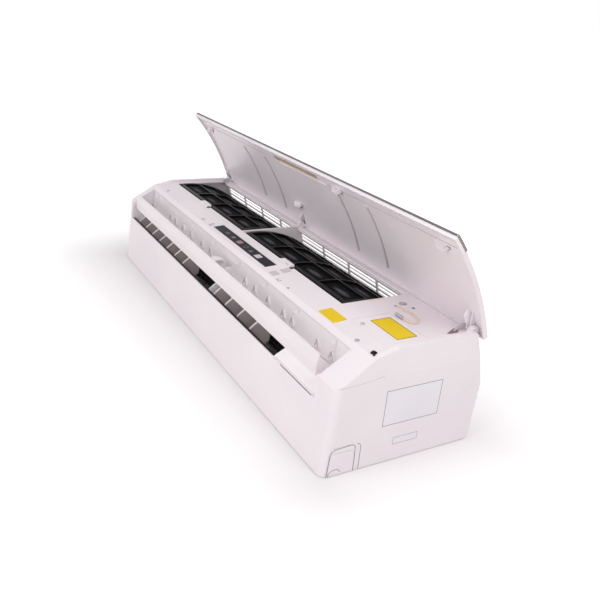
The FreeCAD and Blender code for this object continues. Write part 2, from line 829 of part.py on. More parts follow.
node("front_panel", [cut("FrontPanel", fuse("PanelWhole", panel_parts), [view_slot])], swing)
node("panel_window", [panel_part("PanelWindow", skin - 0.6, 0.6, s.view_low + s.slip, view_high - s.slip,
                                 view_left + s.slip, view_right - s.slip)], swing)
trim_parts = [
    panel_part("TrimStrip", -0.05, -s.trim_thick, s.panel_low, s.panel_low + s.trim_height,
               -panel_half, panel_half),
    panel_part("TrimCap", deep, -s.trim_thick, s.panel_low, s.panel_low + 30, panel_half, half),
    panel_part("TrimCap", deep, -s.trim_thick, s.panel_low, s.panel_low + 30, -half, -panel_half),
]
node("panel_trim", [fuse("PanelTrim", trim_parts)], swing)

# filter_left and filter_right: curved frames with ribs, each with a net behind it.
filter_axis = (s.filter_radius - s.front_depth, s.filter_mid)
filter_low = s.ledge_height + 5
filter_high = top_front + 5


def filter_angle(height):
    return math.degrees(math.asin((num(height) - num(s.filter_mid)) / num(s.filter_radius)))


def filter_part(name, inner, outer, low, high, start, end):
    return sector(name, filter_axis, s.filter_radius - inner, s.filter_radius - outer, low, high, start, end)


low_angle = filter_angle(filter_low)
high_angle = filter_angle(filter_high)
edge_angle = math.degrees(num(s.filter_edge) / num(s.filter_radius))
rib_angle = math.degrees(num(s.filter_rib) / num(s.filter_radius))
for label, start, end in (
    ("filter_left", window_left + 1, window_mid - 8.5),
    ("filter_right", window_mid + 8.5, window_right - 1),
):
    frame = filter_part("FilterFrame", s.filter_thick, 0, low_angle, high_angle, start, end)
    cells = []
    rows = 3
    columns = 4
    cell_angle = (high_angle - low_angle - edge_angle * 2 + rib_angle) / rows
    cell_width = (end - start - s.filter_edge * 2 + s.filter_rib) / columns
    for row in range(rows):
        low = low_angle + edge_angle + cell_angle * row
        for column in range(columns):
            near = start + s.filter_edge + cell_width * column
            cells.append(filter_part("FilterCell", s.filter_thick + 2, -2, low, low + cell_angle - rib_angle,
                                     near, near + cell_width - s.filter_rib))
    tab_x = (start + end) / 2
    tab = [
        block("FilterGrip", tab_x - 12, tab_x + 12, -s.front_depth - 3, -s.front_depth + 4,
              filter_low + 1, filter_low + 5),
        block("FilterGrip", tab_x - 12, tab_x + 12, -s.front_depth - 3, -s.front_depth - 0.4,
              filter_low - 12, filter_low + 5),
    ]
    node(label, [fuse("FilterWhole", [cut("FilterGrid", frame, cells)] + tab)])
    net = filter_part("FilterNet", s.filter_thick + 0.1 + s.net_thick, s.filter_thick + 0.1,
                      low_angle + edge_angle / 2, high_angle - edge_angle / 2, start + 4, end - 4)
    node(label + "_net", [net])

# crossflow_wheel: blades between discs, drawn about its own axis.
wheel_left = left_end + 8
wheel_right = right_end - 6
wheel_radius = s.fan_diameter / 2
wheel_inner = wheel_radius - s.blade_depth
wheel = doc.addObject("PartDesign::Body", "CrossflowWheel")


def wheel_pad(name, offset, length, radii):
    """Pad a disc or ring of the wheel from its own sketch."""
    sketch = body_sketch(wheel, name + "Sketch", "YZ", offset)
    for radius in radii:
        circle(sketch, 0, 0, radius)
    return pad(wheel, sketch, length)


wheel_pad("LeftDisc", wheel_left, s.disc_thick, (wheel_radius, s.shaft_diameter / 2 + s.pin_clearance))
wheel_pad("LeftHub", wheel_left, 15, (12, s.shaft_diameter / 2 + s.pin_clearance))
blade_sketch = body_sketch(wheel, "BladeSketch", "YZ", wheel_left)
polygon(blade_sketch, (
    (wheel_radius - 1, -s.blade_thick / 2),
    (wheel_radius - 1, s.blade_thick / 2),
    (wheel_radius - s.blade_depth / 2, s.blade_thick / 2 + 3),
    (wheel_inner + 1, s.blade_thick / 2 + 4),
    (wheel_inner + 1, -s.blade_thick / 2 + 4),
    (wheel_radius - s.blade_depth / 2, -s.blade_thick / 2 + 3),
))
blade = pad(wheel, blade_sketch, wheel_right - wheel_left)
blades = wheel.newObject("PartDesign::PolarPattern", "Blades")
blades.Originals = [blade]
blades.Axis = (wheel.Origin.OriginFeatures[0], [""])
blades.Angle = 360
bind(blades, "Occurrences", s.blade_count)
wheel.Tip = blades
wheel_pad("RightDisc", wheel_right - s.disc_thick, s.disc_thick,
          (wheel_radius, s.shaft_diameter / 2 + s.pin_clearance))
wheel_pad("RightHub", wheel_right - 20, 20, (12, s.shaft_diameter / 2 + s.pin_clearance))
ring = wheel_pad("MiddleRing", wheel_left + (wheel_right - wheel_left) / 6, s.disc_thick,
                 (wheel_radius, wheel_inner))
rings = wheel.newObject("PartDesign::LinearPattern", "MiddleRings")
rings.Originals = [ring]
rings.Direction = (wheel.Origin.OriginFeatures[0], [""])
bind(rings, "Length", (wheel_right - wheel_left) * 4 / 6)
rings.Occurrences = 5
wheel.Tip = rings
place(wheel, 0, *fan_axis)
node("crossflow_wheel", [wheel])

# fan_stub, motor_shaft, fan_bearing and fan_motor.
motor_left = right_end + 22
motor_right = motor_left + s.motor_length
node("fan_stub", [rod("FanStub", "X", s.shaft_diameter / 2, left_end - 4, wheel_left + 15, *fan_axis)])
shaft_rod = rod("MotorShaft", "X", s.shaft_diameter / 2, wheel_right - 20, motor_left + 22, *fan_axis)
node("motor_shaft", [shaft_rod])
bearing = fuse("BearingWhole", [
    rod("BearingBody", "X", 11, left_end - s.bay_wall - 2, left_end + 3, *fan_axis),
    rod("BearingRim", "X", 14, left_end + s.slip, left_end + 3, *fan_axis),
])
bore_radius = s.shaft_diameter / 2 + s.pin_clearance
bearing_bore = rod("BearingBore", "X", bore_radius, left_end - 10, left_end + 10, *fan_axis)
node("fan_bearing", [cut("FanBearing", bearing, [bearing_bore])])
motor = fuse("MotorWhole", [
    rod("MotorCan", "X", s.motor_diameter / 2, motor_left, motor_right, *fan_axis),
    rod("MotorBoss", "X", 12, motor_left - 5, motor_left + 1, *fan_axis),
    rod("MotorFlange", "X", s.motor_diameter / 2 + 2, motor_left + 2, motor_left + 8, *fan_axis),
    rod("MotorFlange", "X", s.motor_diameter / 2 + 2, motor_right - 8, motor_right - 2, *fan_axis),
])
motor_bore = rod("MotorBore", "X", bore_radius, motor_left - 10, motor_left + 23, *fan_axis)
node("fan_motor", [cut("FanMotor", motor, [motor_bore])])
saddle_left = motor_left + 12
saddle_right = motor_right - 12
seat_radius = s.motor_diameter / 2 + s.slip
saddle = cut("MotorSaddle", block("SaddleBlock", saddle_left, saddle_right, fan_axis[0] - 51, back_face,
                                  s.fan_height - 46, s.fan_height - s.slip),
             [rod("SaddleBore", "X", seat_radius, saddle_left - 5, saddle_right + 5, *fan_axis)])
saddle_foot = block("SaddleFoot", saddle_left, saddle_right, back_face - 6, back_face,
                    s.fan_height - 10, s.fan_height + 20)
node("motor_saddle", [fuse("SaddleWhole", [saddle, saddle_foot])])
strap = [
    sector("ClampBand", fan_axis, seat_radius, seat_radius + 2.5, 0.0, 180.0,
           saddle_left + 8, saddle_right - 8),
    block("ClampEar", saddle_left + 8, saddle_right - 8, fan_axis[0] - 50, fan_axis[0] - seat_radius - 1,
          s.fan_height, s.fan_height + 2.5),
    block("ClampEar", saddle_left + 8, saddle_right - 8, fan_axis[0] + seat_radius + 1, back_face - 7,
          s.fan_height, s.fan_height + 2.5),
]
node("motor_clamp", [fuse("MotorClamp", strap)])

# coil: three finned slabs between two end plates, with return bends.
coil_left = left_end + 6
coil_right = right_end - 10


def step(point, along, across, run, depth):
    """Point moved by run along one direction and by depth along another."""
    return (point[0] + along[0] * run + across[0] * depth, point[1] + along[1] * run + across[1] * depth)


def slab(label, start, end, margin):
    """A slab by the ends of its outer face: name, start, directions along and across, length, plate margin."""
    run_y = end[0] - start[0]
    run_z = end[1] - start[1]
    length = root(run_y * run_y + run_z * run_z)
    along = (run_y / length, run_z / length)
    return (label, start, along, (along[1], -along[0]), length, margin)


coil_front = -s.front_depth + 16
coil_low = s.outlet_top + 15
fold = coil_low + s.coil_lower_run
slabs = (
    slab("coil_front_lower", (coil_front, coil_low), (coil_front, fold), 1.5),
    slab("coil_front_upper", (coil_front + 2, fold + s.coil_fold_gap),
         (coil_front + 48, s.case_height - s.coil_top_gap), 3),
    slab("coil_rear", (fan_axis[0] - 1, s.case_height - s.coil_top_gap + 4),
         (back_face - 10, s.fan_height + 56), 3),
)
plate_outlines = []
for label, start, along, across, run, margin in slabs:
    node(label, [prism("CoilSlab", (
        start,
        step(start, along, across, run, 0),
        step(start, along, across, run, s.coil_thick),
        step(start, along, across, 0, s.coil_thick),
    ), coil_left, coil_right)])
    plate_outlines.append((
        step(start, along, across, -4, -margin),
        step(start, along, across, run + 4, -margin),
        step(start, along, across, run + 4, s.coil_thick + margin),
        step(start, along, across, -4, s.coil_thick + margin),
    ))
rear_start = slabs[2][1]
plate_outlines.append((
    (back_face - 16, s.fan_height + 56),
    (back_face, s.fan_height + 56),
    (back_face, s.fan_height + 80),
    (back_face - 30, s.fan_height + 80),
))
for label, near, far in (
    ("coil_plate_left", coil_left - s.coil_plate, coil_left),
    ("coil_plate_right", coil_right, coil_right + s.coil_plate),
):
    sheets = [prism("CoilSheet", outline, near, far) for outline in plate_outlines]
    node(label, [fuse("CoilPlate", sheets)])


def slab_spot(part, run):
    """Tube centre on the middle line of a slab."""
    return step(part[1], part[2], part[3], run, s.coil_thick / 2)


def bend(part, run, face, outward):
    """Half ring that joins two tubes of a slab beyond an end plate."""
    ring = doc.addObject("Part::Torus", "ReturnBend")
    bind(ring, "Radius1", s.bend_radius)
    bind(ring, "Radius2", s.tube_diameter / 2)
    ring.Angle3 = 180
    first = FreeCAD.Vector(0, num(part[2][0]), num(part[2][1]))
    second = FreeCAD.Vector(outward, 0, 0)
    turn = FreeCAD.Rotation(first, second, first.cross(second), "XYZ")
    ring.Placement = FreeCAD.Placement(FreeCAD.Vector(), turn)
    return place(ring, face, *slab_spot(part, run))


pitch = s.bend_radius * 2
bends = []
for part, first in ((slabs[0], 14), (slabs[1], 8), (slabs[2], 10)):
    count = 1 if part is slabs[0] else 2
    for i in range(count):
        bends.append(bend(part, first + pitch * (i * 2 + 0.5), coil_right + s.coil_plate, 1))
        bends.append(bend(part, first + pitch * (i * 2 + 1.5), coil_left - s.coil_plate, -1))
node("return_bends", [group("ReturnBends", bends)])

# water pipes: bent copper tubes from the coil to the space behind the throat.


def bent_wire(points, radii):
    """Straight runs joined by tangent arcs, one radius for each corner."""
    spots = [FreeCAD.Vector(*[num(value) for value in point]) for point in points]
    edges = []
    last = spots[0]
    for i in range(1, len(spots) - 1):
        corner = spots[i]
        back = (spots[i - 1] - corner).normalize()
        ahead = (spots[i + 1] - corner).normalize()
        turn = back.getAngle(ahead)
        radius = radii[i - 1]
        reach = radius / math.tan(turn / 2)
        enter = corner + back * reach
        leave = corner + ahead * reach
        middle = corner + (back + ahead).normalize() * (radius / math.sin(turn / 2) - radius)
        if (enter - last).Length > 1e-6:
            edges.append(Part.LineSegment(last, enter).toShape())
        edges.append(Part.Arc(enter, middle, leave).toShape())
        last = leave
    edges.append(Part.LineSegment(last, spots[-1]).toShape())
    print("bent run of %d edges, radii %s mm" % (len(edges), radii))
    return Part.Wire(edges)


def swept(name, points, radii, outer, inner=None):
    """Round bar or tube along a bent run."""
    wire = bent_wire(points, radii)
    start = wire.Edges[0].valueAt(wire.Edges[0].FirstParameter)
    heading = wire.Edges[0].tangentAt(wire.Edges[0].FirstParameter)
    shape = wire.makePipeShell([Part.Wire(Part.makeCircle(num(outer), start, heading))], True, False)
    if inner is not None:
        core = wire.makePipeShell([Part.Wire(Part.makeCircle(num(inner), start, heading))], True, False)
        shape = shape.cut(core)
    feature = doc.addObject("Part::Feature", name)
    feature.Shape = shape
    return feature


pipe_x = right_end + 11
pipe_start = coil_right + s.coil_plate
front_tube = slab_spot(slabs[0], 14 + pitch * 2)
rear_tube = slab_spot(slabs[2], 10 + pitch * 4)
inlet_run = (-52, 20)
outlet_run = (-28, 30)
inlet_end = post_x - 60
outlet_end = post_x - 10
pipe_radius = s.pipe_diameter / 2
pipe_bore = pipe_radius - s.pipe_wall
node("water_inlet_pipe", [swept("InletPipe", (
    (pipe_start, *front_tube),
    (pipe_x, *front_tube),
    (pipe_x, inlet_run[0], front_tube[1]),
    (pipe_x, *inlet_run),
    (inlet_end, *inlet_run),
), (15.0, 15.0, 15.0), pipe_radius, pipe_bore)])
node("water_outlet_pipe", [swept("OutletPipe", (
    (pipe_start, *rear_tube),
    (pipe_x, *rear_tube),
    (pipe_x, outlet_run[0], rear_tube[1] - 60),
    (pipe_x, *outlet_run),
    (outlet_end, *outlet_run),
), (9.0, 9.0, 9.0), pipe_radius, pipe_bore)])
unions = []
for end, run in ((inlet_end, inlet_run), (outlet_end, outlet_run)):
    corners = [(run[0] + 11.5 * math.cos(math.radians(60 * i)), run[1] + 11.5 * math.sin(math.radians(60 * i)))
               for i in range(6)]
    union = fuse("UnionWhole", [
        prism("UnionNut", corners, end - 4, end + 16),
        rod("UnionThread", "X", 9.5, end - 20, end - 3, *run),
    ])
    union_bores = [
        rod("UnionSeat", "X", pipe_radius + s.pin_clearance, end - 0.4, end + 20, *run),
        rod("UnionBore", "X", pipe_bore, end - 25, end + 1, *run),
    ]
    unions.append(cut("PipeUnion", union, union_bores))
node("pipe_unions", [group("PipeUnions", unions)])

# drain_pan: trough under the front coil, whose underside is the upper wall of the outlet.
trough = (
    pan_front,
    pan_rear,
    (pan_rear[0], pan_rear[1] + 38),
    (pan_rear[0] - 3, pan_rear[1] + 38),
    (pan_rear[0] - 3, pan_rear[1] + 3.3),
    (pan_front[0] + 3, pan_front[1] + 2.7),
    (pan_front[0] + 3, pan_front[1] + 32),
    (pan_front[0], pan_front[1] + 32),
)
pan_end = (trough[0], trough[1], trough[2], trough[7])
spout_x = outlet_right - 20
spout_z = pan_rear[1] + 12
spout_radius = 8
pan_parts = [
    prism("PanTrough", trough, -inner_half, outlet_right),
    prism("PanEnd", pan_end, -inner_half, -inner_half + 3),
    prism("PanEnd", pan_end, outlet_right - 3, outlet_right),
    rod("DrainSpout", "Y", spout_radius, pan_rear[0] - 1, pan_rear[0] + 40, spout_x, spout_z),
    prism("LouverBracket", (
        (pivot[0] - 9, pan_rear[1] + 2),
        (pivot[0] - 4.5, pivot[1] - 4.5),
        (pivot[0] + 4.5, pivot[1] - 4.5),
        (pivot[0] + 5.5, pan_rear[1] + 2),
    ), post_x + 11.6, post_x + 14.6),
]
rib_count = 8
for i in range(rib_count):
    x = left_end + 40 + (outlet_right - left_end - 80) / (rib_count - 1) * i
    pan_parts.append(prism("PanRib", (
        (pan_front[0] + 4, pan_front[1] + 0.5),
        (pan_front[0] + 7, pan_front[1] - 11),
        (pan_front[0] + 22, pan_front[1] - 1.5),
    ), x - 0.8, x + 0.8))
pan_holes = [
    rod("DrainBore", "Y", spout_radius - 1.5, pan_rear[0] - 4, pan_rear[0] + 45, spout_x, spout_z),
    rod("LouverBore", "X", louver_hole, post_x + 10, post_x + 16, *pivot),
]
node("drain_pan", [cut("DrainPan", fuse("PanWhole", pan_parts), pan_holes)])

# louver: thin blade across the outlet, carried by three arms with pins.
louver_left = left_end + 5
louver_right = outlet_right - 18


def from_pivot(y, z):
    return (pivot[0] + y, pivot[1] + z)


rear_reach = 8
louver_parts = [prism("LouverBlade", (
    from_pivot(rear_reach, -s.louver_drop - 2.4),
    from_pivot(rear_reach + 0.2, -s.louver_drop - 1),
    from_pivot(-rear_reach, s.louver_thick - s.louver_drop - 3.4),
    from_pivot(rear_reach + 0.4 - s.louver_chord, 2 - s.louver_drop),
    from_pivot(rear_reach - s.louver_chord, 0.8 - s.louver_drop),
    from_pivot(-rear_reach, -s.louver_drop - 3.4),
), louver_left, louver_right)]
for x in (louver_left, post_x + 8, louver_right - 3):
    louver_parts.append(prism("LouverArm", (
        from_pivot(rear_reach - 2, -s.louver_drop - 1.8),
        from_pivot(3.5, 3.5),
        from_pivot(-3.5, 3.5),
        from_pivot(-24, -s.louver_drop - 0.2),
    ), x, x + 3))
louver_pin = s.louver_pin / 2
louver_parts += [
    rod("LouverPin", "X", louver_pin, left_end - s.bay_wall + 0.1, louver_left + 1, *pivot),
    rod("LouverPin", "X", louver_pin, post_x + 10, post_x + 15, *pivot),
    rod("LouverPin", "X", louver_pin, louver_right - 1, outlet_right + 9, *pivot),
]
node("louver", [fuse("Louver", louver_parts)])
louver_drive = rod("LouverDrive", "X", 12, outlet_right + s.bay_wall, outlet_right + 22, *pivot)
drive_bore = rod("DriveBore", "X", louver_hole, outlet_right, outlet_right + 10, *pivot)
node("louver_motor", [cut("LouverMotor", louver_drive, [drive_bore])])

# vanes: one upright blade, repeated on pins in the throat floor and turned together.
vane = doc.addObject("PartDesign::Body", "VaneBlade")
blade_outline = body_sketch(vane, "VaneOutline", "YZ", -s.vane_thick / 2)
vane_corners = (
    (-s.vane_front, 2),
    (s.vane_rear, 2),
    (s.vane_rear, s.vane_height / 2),
    (s.vane_rear - 14, s.vane_height - 4),
    (-s.vane_front, s.vane_height),
)
polygon(blade_outline, vane_corners)
pad(vane, blade_outline, s.vane_thick)
fillet(vane, 8, edges_at(vane.Shape, (vane_corners[0], vane_corners[4])))
arm_outline = body_sketch(vane, "VaneArm", "XY", 6)
polygon(arm_outline, (
    (-3, s.vane_rear - 2),
    (3, s.vane_rear - 2),
    (3, s.link_reach + 2.2),
    (-3, s.link_reach + 2.2),
))
pad(vane, arm_outline, 2.5)
stem = body_sketch(vane, "VaneStem", "XY", -3)
circle(stem, 0, 0, s.vane_pin / 2)
pad(vane, stem, 10)
peg = body_sketch(vane, "VanePeg", "XY", 8)
circle(peg, 0, s.link_reach, s.link_pin / 2)
pad(vane, peg, 5)
turned = FreeCAD.Rotation(FreeCAD.Vector(0, 0, 1), -num(s.vane_turn))
seat = throat(vane_seat, 0)


def vane_place(x, rotation):
    """Placement of a piece that stands on the throat floor."""
    return FreeCAD.Placement(FreeCAD.Vector(num(x), num(seat[0]), num(seat[1])), tilt.multiply(rotation))


for side, spots in (("left", vane_left), ("right", vane_right)):
    for number, x in enumerate(spots, 1):
        node("vane_%s_%d" % (side, number), [vane], vane_place(x, turned))

# link_left and link_right: bars that join the vanes of a bank.
link_across = s.link_reach * sine(s.vane_turn)
link_along = s.link_reach * cosine(s.vane_turn)
for side, spots in (("left", vane_left), ("right", vane_right)):
    first = spots[0]
    bar = block("LinkBar", link_across - 3.5, spots[-1] - first + link_across + 3.5,
                link_along - 2.5, link_along + 2.5, 9, 12)
    peg_holes = [rod("LinkHole", "Z", s.link_pin / 2 + s.pin_clearance, 5, 15,
                     x - first + link_across, link_along)
                 for x in spots]
    node("link_" + side, [cut("LinkWhole", bar, peg_holes)], vane_place(first, FreeCAD.Rotation()))

# display_cover, display_board and manual_button on the ledge.
node("display_cover", [prism("DisplayCover", (
    ledge(display_low + s.slip, 0.4),
    ledge(display_low + s.slip, 2.2),
    ledge(display_high - s.slip, 2.2),
    ledge(display_high - s.slip, 0.4),
), display_left + s.slip, display_right - s.slip)])
node("display_board", [prism("DisplayBoard", (
    ledge(display_low - 4, s.case_skin + 0.5),
    ledge(display_low - 4, s.case_skin + 2.1),
    ledge(display_high + 4, s.case_skin + 2.1),
    ledge(display_high + 4, s.case_skin + 0.5),
), display_left - 4, button_x + 14)])
node("manual_button", [prism("ManualButton", (
    ledge(button_z - 4 + s.slip, 0.6),
    ledge(button_z - 4 + s.slip, 2.2),
    ledge(button_z + 4 - s.slip, 2.2),
    ledge(button_z + 4 - s.slip, 0.6),
), button_x - 9 + s.slip, button_x + 9 - s.slip)])

# wiring_cover: bent plate over the terminals at the right of the face.
cover_gap = 0.4
cover_plate = prism("WiringPlate", (
    ledge(cover_low + cover_gap, 0.2),
    ledge(cover_low + cover_gap, s.case_skin),
    (-s.front_depth + s.case_skin, s.ledge_height),
    (-s.front_depth + s.case_skin, cover_high - cover_gap),
    (-s.front_depth + 0.2, cover_high - cover_gap),
    (-s.front_depth + 0.2, s.ledge_height),
), cover_left + cover_gap, cover_right - cover_gap)
cover_hole = rod("CoverHole", "Y", screw_hole, -s.front_depth - 5, -s.front_depth + 8, *cover_screw)
node("wiring_cover", [cut("WiringCover", cover_plate, [cover_hole])])

# electrical_box: open box on the back wall beside the motor, with its cover and boards.
box_left = half - 90
box_right = half - s.end_wall - 5
box_front = -s.front_depth + 6
box_low = s.outlet_top + 43
box_high = top_front - 13
box_wall = 2
box_blank = cut("BoxBlank", block("BoxOuter", box_left, box_right, box_front, back_face, box_low, box_high),
                [block("BoxInner", box_left + box_wall, box_right - box_wall,
                       box_front - 5, back_face - box_wall,
                       box_low + box_wall, box_high - box_wall)])
board_front = back_face - 48
box_parts = [
    box_blank,
    block("CoverBoss", cover_screw[0] - 6, box_left + 1, box_front, box_front + 12,
          cover_screw[1] - 6, cover_screw[1] + 6),
]
for x in (box_left + 12, box_right - 12):
    for z in (box_low + 16, box_high - 16):
        box_parts.append(rod("BoardPost", "Y", 3, board_front + 1.6, back_face - 1, x, z))
boss_hole = rod("BossHole", "Y", screw_hole, box_front - 5, box_front + 10, *cover_screw)
node("electrical_box", [cut("ElectricalBox", fuse("BoxWhole", box_parts), [boss_hole])])
node("electrical_box_cover", [block("BoxCover", box_left, box_right, box_front - 1.6, box_front,
                                    box_low, box_high)])
board_parts = [
    block("BoardSheet", box_left + 6, box_right - 6, board_front, board_front + 1.6,
          box_low + 8, box_high - 8),
    block("BoardTransformer", box_left + 12, box_left + 44, board_front - 28, board_front + 0.5,
          box_high - 58, box_high - 24),
    block("BoardRelay", box_left + 50, box_left + 66, board_front - 16, board_front + 0.5,
          box_high - 76, box_high - 56),
    block("BoardRelay", box_left + 50, box_left + 66, board_front - 16, board_front + 0.5,
          box_high - 48, box_high - 28),
    block("BoardSocket", box_left + 12, box_left + 40, board_front - 9, board_front + 0.5,
          box_low + 18, box_low + 26),
    rod("BoardCapacitor", "Y", 9, board_front - 30, board_front + 0.5, box_left + 24, box_low + 46),
]
node("control_board", [fuse("ControlBoard", board_parts)])
terminal_low = box_low + box_wall
terminals = block("TerminalBody", box_left + 12, box_right - 12, box_front + 6, box_front + 24,
                  terminal_low, terminal_low + 20)
wire_ways = []
way_count = 6
for i in range(way_count):
    x = box_left + 12 + (box_right - box_left - 24) / way_count * (i + 0.5)
    wire_ways.append(rod("WireWay", "Y", 2, box_front + 4, box_front + 14, x, terminal_low + 6))
    wire_ways.append(rod("ScrewWay", "Z", 2, terminal_low + 12, terminal_low + 25, x, box_front + 11))
node("terminal_block", [cut("TerminalBlock", terminals, wire_ways)])

# casing_screws: short screws with pan heads.


def screw(face, x, z):
    return fuse("CasingScrew", [
        rod("ScrewHead", "Y", 3.6, face - 2.2, face - 0.4, x, z),
        rod("ScrewShank", "Y", 2, face - 1, face + 5, x, z),
    ])


screws = [screw(ledge(z, 0)[0], x, z) for x, z in ledge_screws]
screws.append(screw(-s.front_depth, *face_screw))
screws.append(screw(ledge(cover_screw[1], 0.2)[0], *cover_screw))
node("casing_screws", [group("CasingScrews", screws)])

# room_sensor and sensor_lead: the lead leaves the casing and loops down to the bulb on the face.
bulb_radius = 2.4
lead_radius = 1.1
lead_depth = -s.front_depth - bulb_radius - s.slip
bulb_end = (lead_spot[0] + 47, lead_depth, lead_spot[1] - 22)
node("sensor_lead", [swept("SensorLead", (
    (lead_spot[0], -s.front_depth + 12, lead_spot[1]),
    (lead_spot[0], lead_depth, lead_spot[1]),
    (lead_spot[0] + 36, lead_depth, lead_spot[1] - 2),
    (lead_spot[0] + 68, lead_depth, lead_spot[1] - 8),
    (lead_spot[0] + 66, lead_depth, lead_spot[1] - 22),
    (bulb_end[0] - 4, bulb_end[1], bulb_end[2]),
), (3.0, 40.0, 7.0, 7.0), lead_radius)])
bulb = rod("SensorBulb", "X", bulb_radius, bulb_end[0] - 18, bulb_end[0], bulb_end[1], bulb_end[2])
bulb_bore = rod("BulbBore", "X", lead_radius + s.pin_clearance, bulb_end[0] - 4.3, bulb_end[0] + 5,
                bulb_end[1], bulb_end[2])
node("room_sensor", [cut("RoomSensor", bulb, [bulb_bore])])

# Every piece is checked before any file is written.
doc.recompute()
faults = [o.Label for o in doc.Objects if "Invalid" in o.State or "Error" in o.State]
for piece in nodes:
    if piece.Shape.isNull() or not piece.Shape.isValid() or not piece.Shape.Solids:
        faults.append(piece.Label)
if faults:
    raise RuntimeError("not built: " + ", ".join(faults))
os.makedirs("parts", exist_ok=True)
for piece in nodes:
    piece.Shape.exportStep("parts/%s.step" % piece.Label)
    box = piece.Shape.BoundBox
    print("%s: %d solids, %.1f cm3, %.1f x %.1f x %.1f mm" % (
        piece.Label, len(piece.Shape.Solids), piece.Shape.Volume / 1000, box.XLength, box.YLength, box.ZLength))
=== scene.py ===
# %% [markdown]
# A wall mounted fan coil unit lies on its back with its front panel swung open. The solids come from the
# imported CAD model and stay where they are. This lesson gives them their finishes and adds the small pieces
# that are too fine for the solids: nets, fins, screw heads, stickers, symbols, ribs and rims.

# %% Load the frame
import math

import bmesh
import bpy
from mathutils import Matrix, Vector


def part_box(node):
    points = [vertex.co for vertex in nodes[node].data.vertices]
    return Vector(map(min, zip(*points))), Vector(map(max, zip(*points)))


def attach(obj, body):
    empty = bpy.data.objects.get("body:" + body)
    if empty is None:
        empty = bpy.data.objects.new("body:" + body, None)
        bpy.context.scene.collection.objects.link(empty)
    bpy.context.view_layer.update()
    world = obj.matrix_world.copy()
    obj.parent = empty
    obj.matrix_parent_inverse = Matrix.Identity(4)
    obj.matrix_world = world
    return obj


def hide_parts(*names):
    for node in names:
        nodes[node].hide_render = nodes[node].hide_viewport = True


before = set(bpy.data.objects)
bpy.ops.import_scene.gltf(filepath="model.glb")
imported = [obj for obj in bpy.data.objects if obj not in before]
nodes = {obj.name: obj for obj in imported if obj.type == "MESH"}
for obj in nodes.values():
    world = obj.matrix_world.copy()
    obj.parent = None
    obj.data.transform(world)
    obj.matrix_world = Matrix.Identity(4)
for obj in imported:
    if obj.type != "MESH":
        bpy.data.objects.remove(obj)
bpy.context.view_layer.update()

# %% [markdown]
# The unit is measured in millimetres, up from its bottom edge, and the model's origin is the middle of the
# wall plate, 190 mm higher. One helper turns such a measure into Blender's metres. The open panel is easier
# to describe closed, so a second helper turns a point about the hinge line by the panel's 60 degrees. The
# ledge slopes and the panel is an arc, so two more give their depth at a height.

# %% Places on the unit
PLATE_HEIGHT = 190.0
FACE_Y = -180.0
HINGE = Vector((0, -186, 258))
OPEN = Matrix.Rotation(math.radians(-60), 3, "X")
ARC_Y, ARC_Z, ARC_RADIUS = 267, 176, 470
PANEL_SKIN = 2.9


def at(x, y, z):
    return Vector((x, y, z - PLATE_HEIGHT)) / 1000


def on_panel(x, y, z):
    return at(*(OPEN @ (Vector((x, y, z)) - HINGE) + HINGE))


def ledge_y(z, inset=0.0):
    return inset - 176 - (z - 70) * 4 / 51


def panel_y(z, inset=0.0):
    return ARC_Y - math.sqrt((ARC_RADIUS - inset) ** 2 - (z - ARC_Z) ** 2)


def scene_object(name, data):
    one = bpy.data.objects.new(name, data)
    bpy.context.scene.collection.objects.link(one)
    return one


print("hinge in metres", tuple(round(v, 3) for v in at(*HINGE)))

# %% [markdown]
# The photograph was taken from below the front, near the right end. The unit's own long edges meet at
# vanishing points, and those give the lens and the turn of the camera. A camera is then three directions
# and a place, which a matrix holds without any angle conventions.

# %% Camera
SENSOR, FOCAL_PIXELS, PICTURE_PIXELS = 36, 693.04, 600
eye = Vector((1.1204, -0.6093, -0.6468))
right = Vector((0.4849, -0.0884, 0.8701))
down = Vector((0.3851, 0.9148, -0.1217))
forward = Vector((-0.7852, 0.3941, 0.4777))
lens = bpy.data.cameras.new("camera")
lens.sensor_width = SENSOR
lens.lens = SENSOR * FOCAL_PIXELS / PICTURE_PIXELS
camera = scene_object("camera", lens)
turn = Matrix((right, -down, -forward)).transposed()
camera.matrix_world = Matrix.Translation(eye) @ turn.to_4x4()
bpy.context.scene.camera = camera
bpy.context.scene.view_settings.view_transform = "Standard"
print("focal length", round(lens.lens, 2), "mm")

# %% [markdown]
# Paint is easier to judge as screen values from 0 to 255, but a shader wants linear light. This helper
# converts it once, so that the numbers below can be compared with a picture.

# %% Paint values


def paint(red, green, blue):
    linear = []
    for value in (red, green, blue):
        share = value / 255
        linear.append(share / 12.92 if share < 0.04045 else ((share + 0.055) / 1.055) ** 2.4)
    return (*linear, 1.0)


print("moulded white", tuple(round(v, 3) for v in paint(238, 236, 238)))

# %% [markdown]
# Shaders and Geometry Nodes are both graphs of small nodes. One helper adds a node and links or sets its
# inputs, so that a step reads as one line. The others are the steps that return most.

# %% Node helpers


def feed(tree, node, values):
    """Link or set the inputs of a node."""
    for key, value in values.items():
        if isinstance(value, bpy.types.NodeSocket):
            tree.links.new(value, node.inputs[key])
        else:
            node.inputs[key].default_value = value


def wire(tree, kind, values=None, **settings):
    """Add a node with its settings and its inputs."""
    node = tree.nodes.new(kind)
    for key, value in settings.items():
        setattr(node, key, value)
    feed(tree, node, values or {})
    return node


def out_of(tree, kind, values=None, **settings):
    return wire(tree, kind, values, **settings).outputs[0]


def sums(tree, operation, first, second=0.0):
    return out_of(tree, "ShaderNodeMath", {0: first, 1: second}, operation=operation)


def vector(tree, **axes):
    return out_of(tree, "ShaderNodeCombineXYZ", axes)


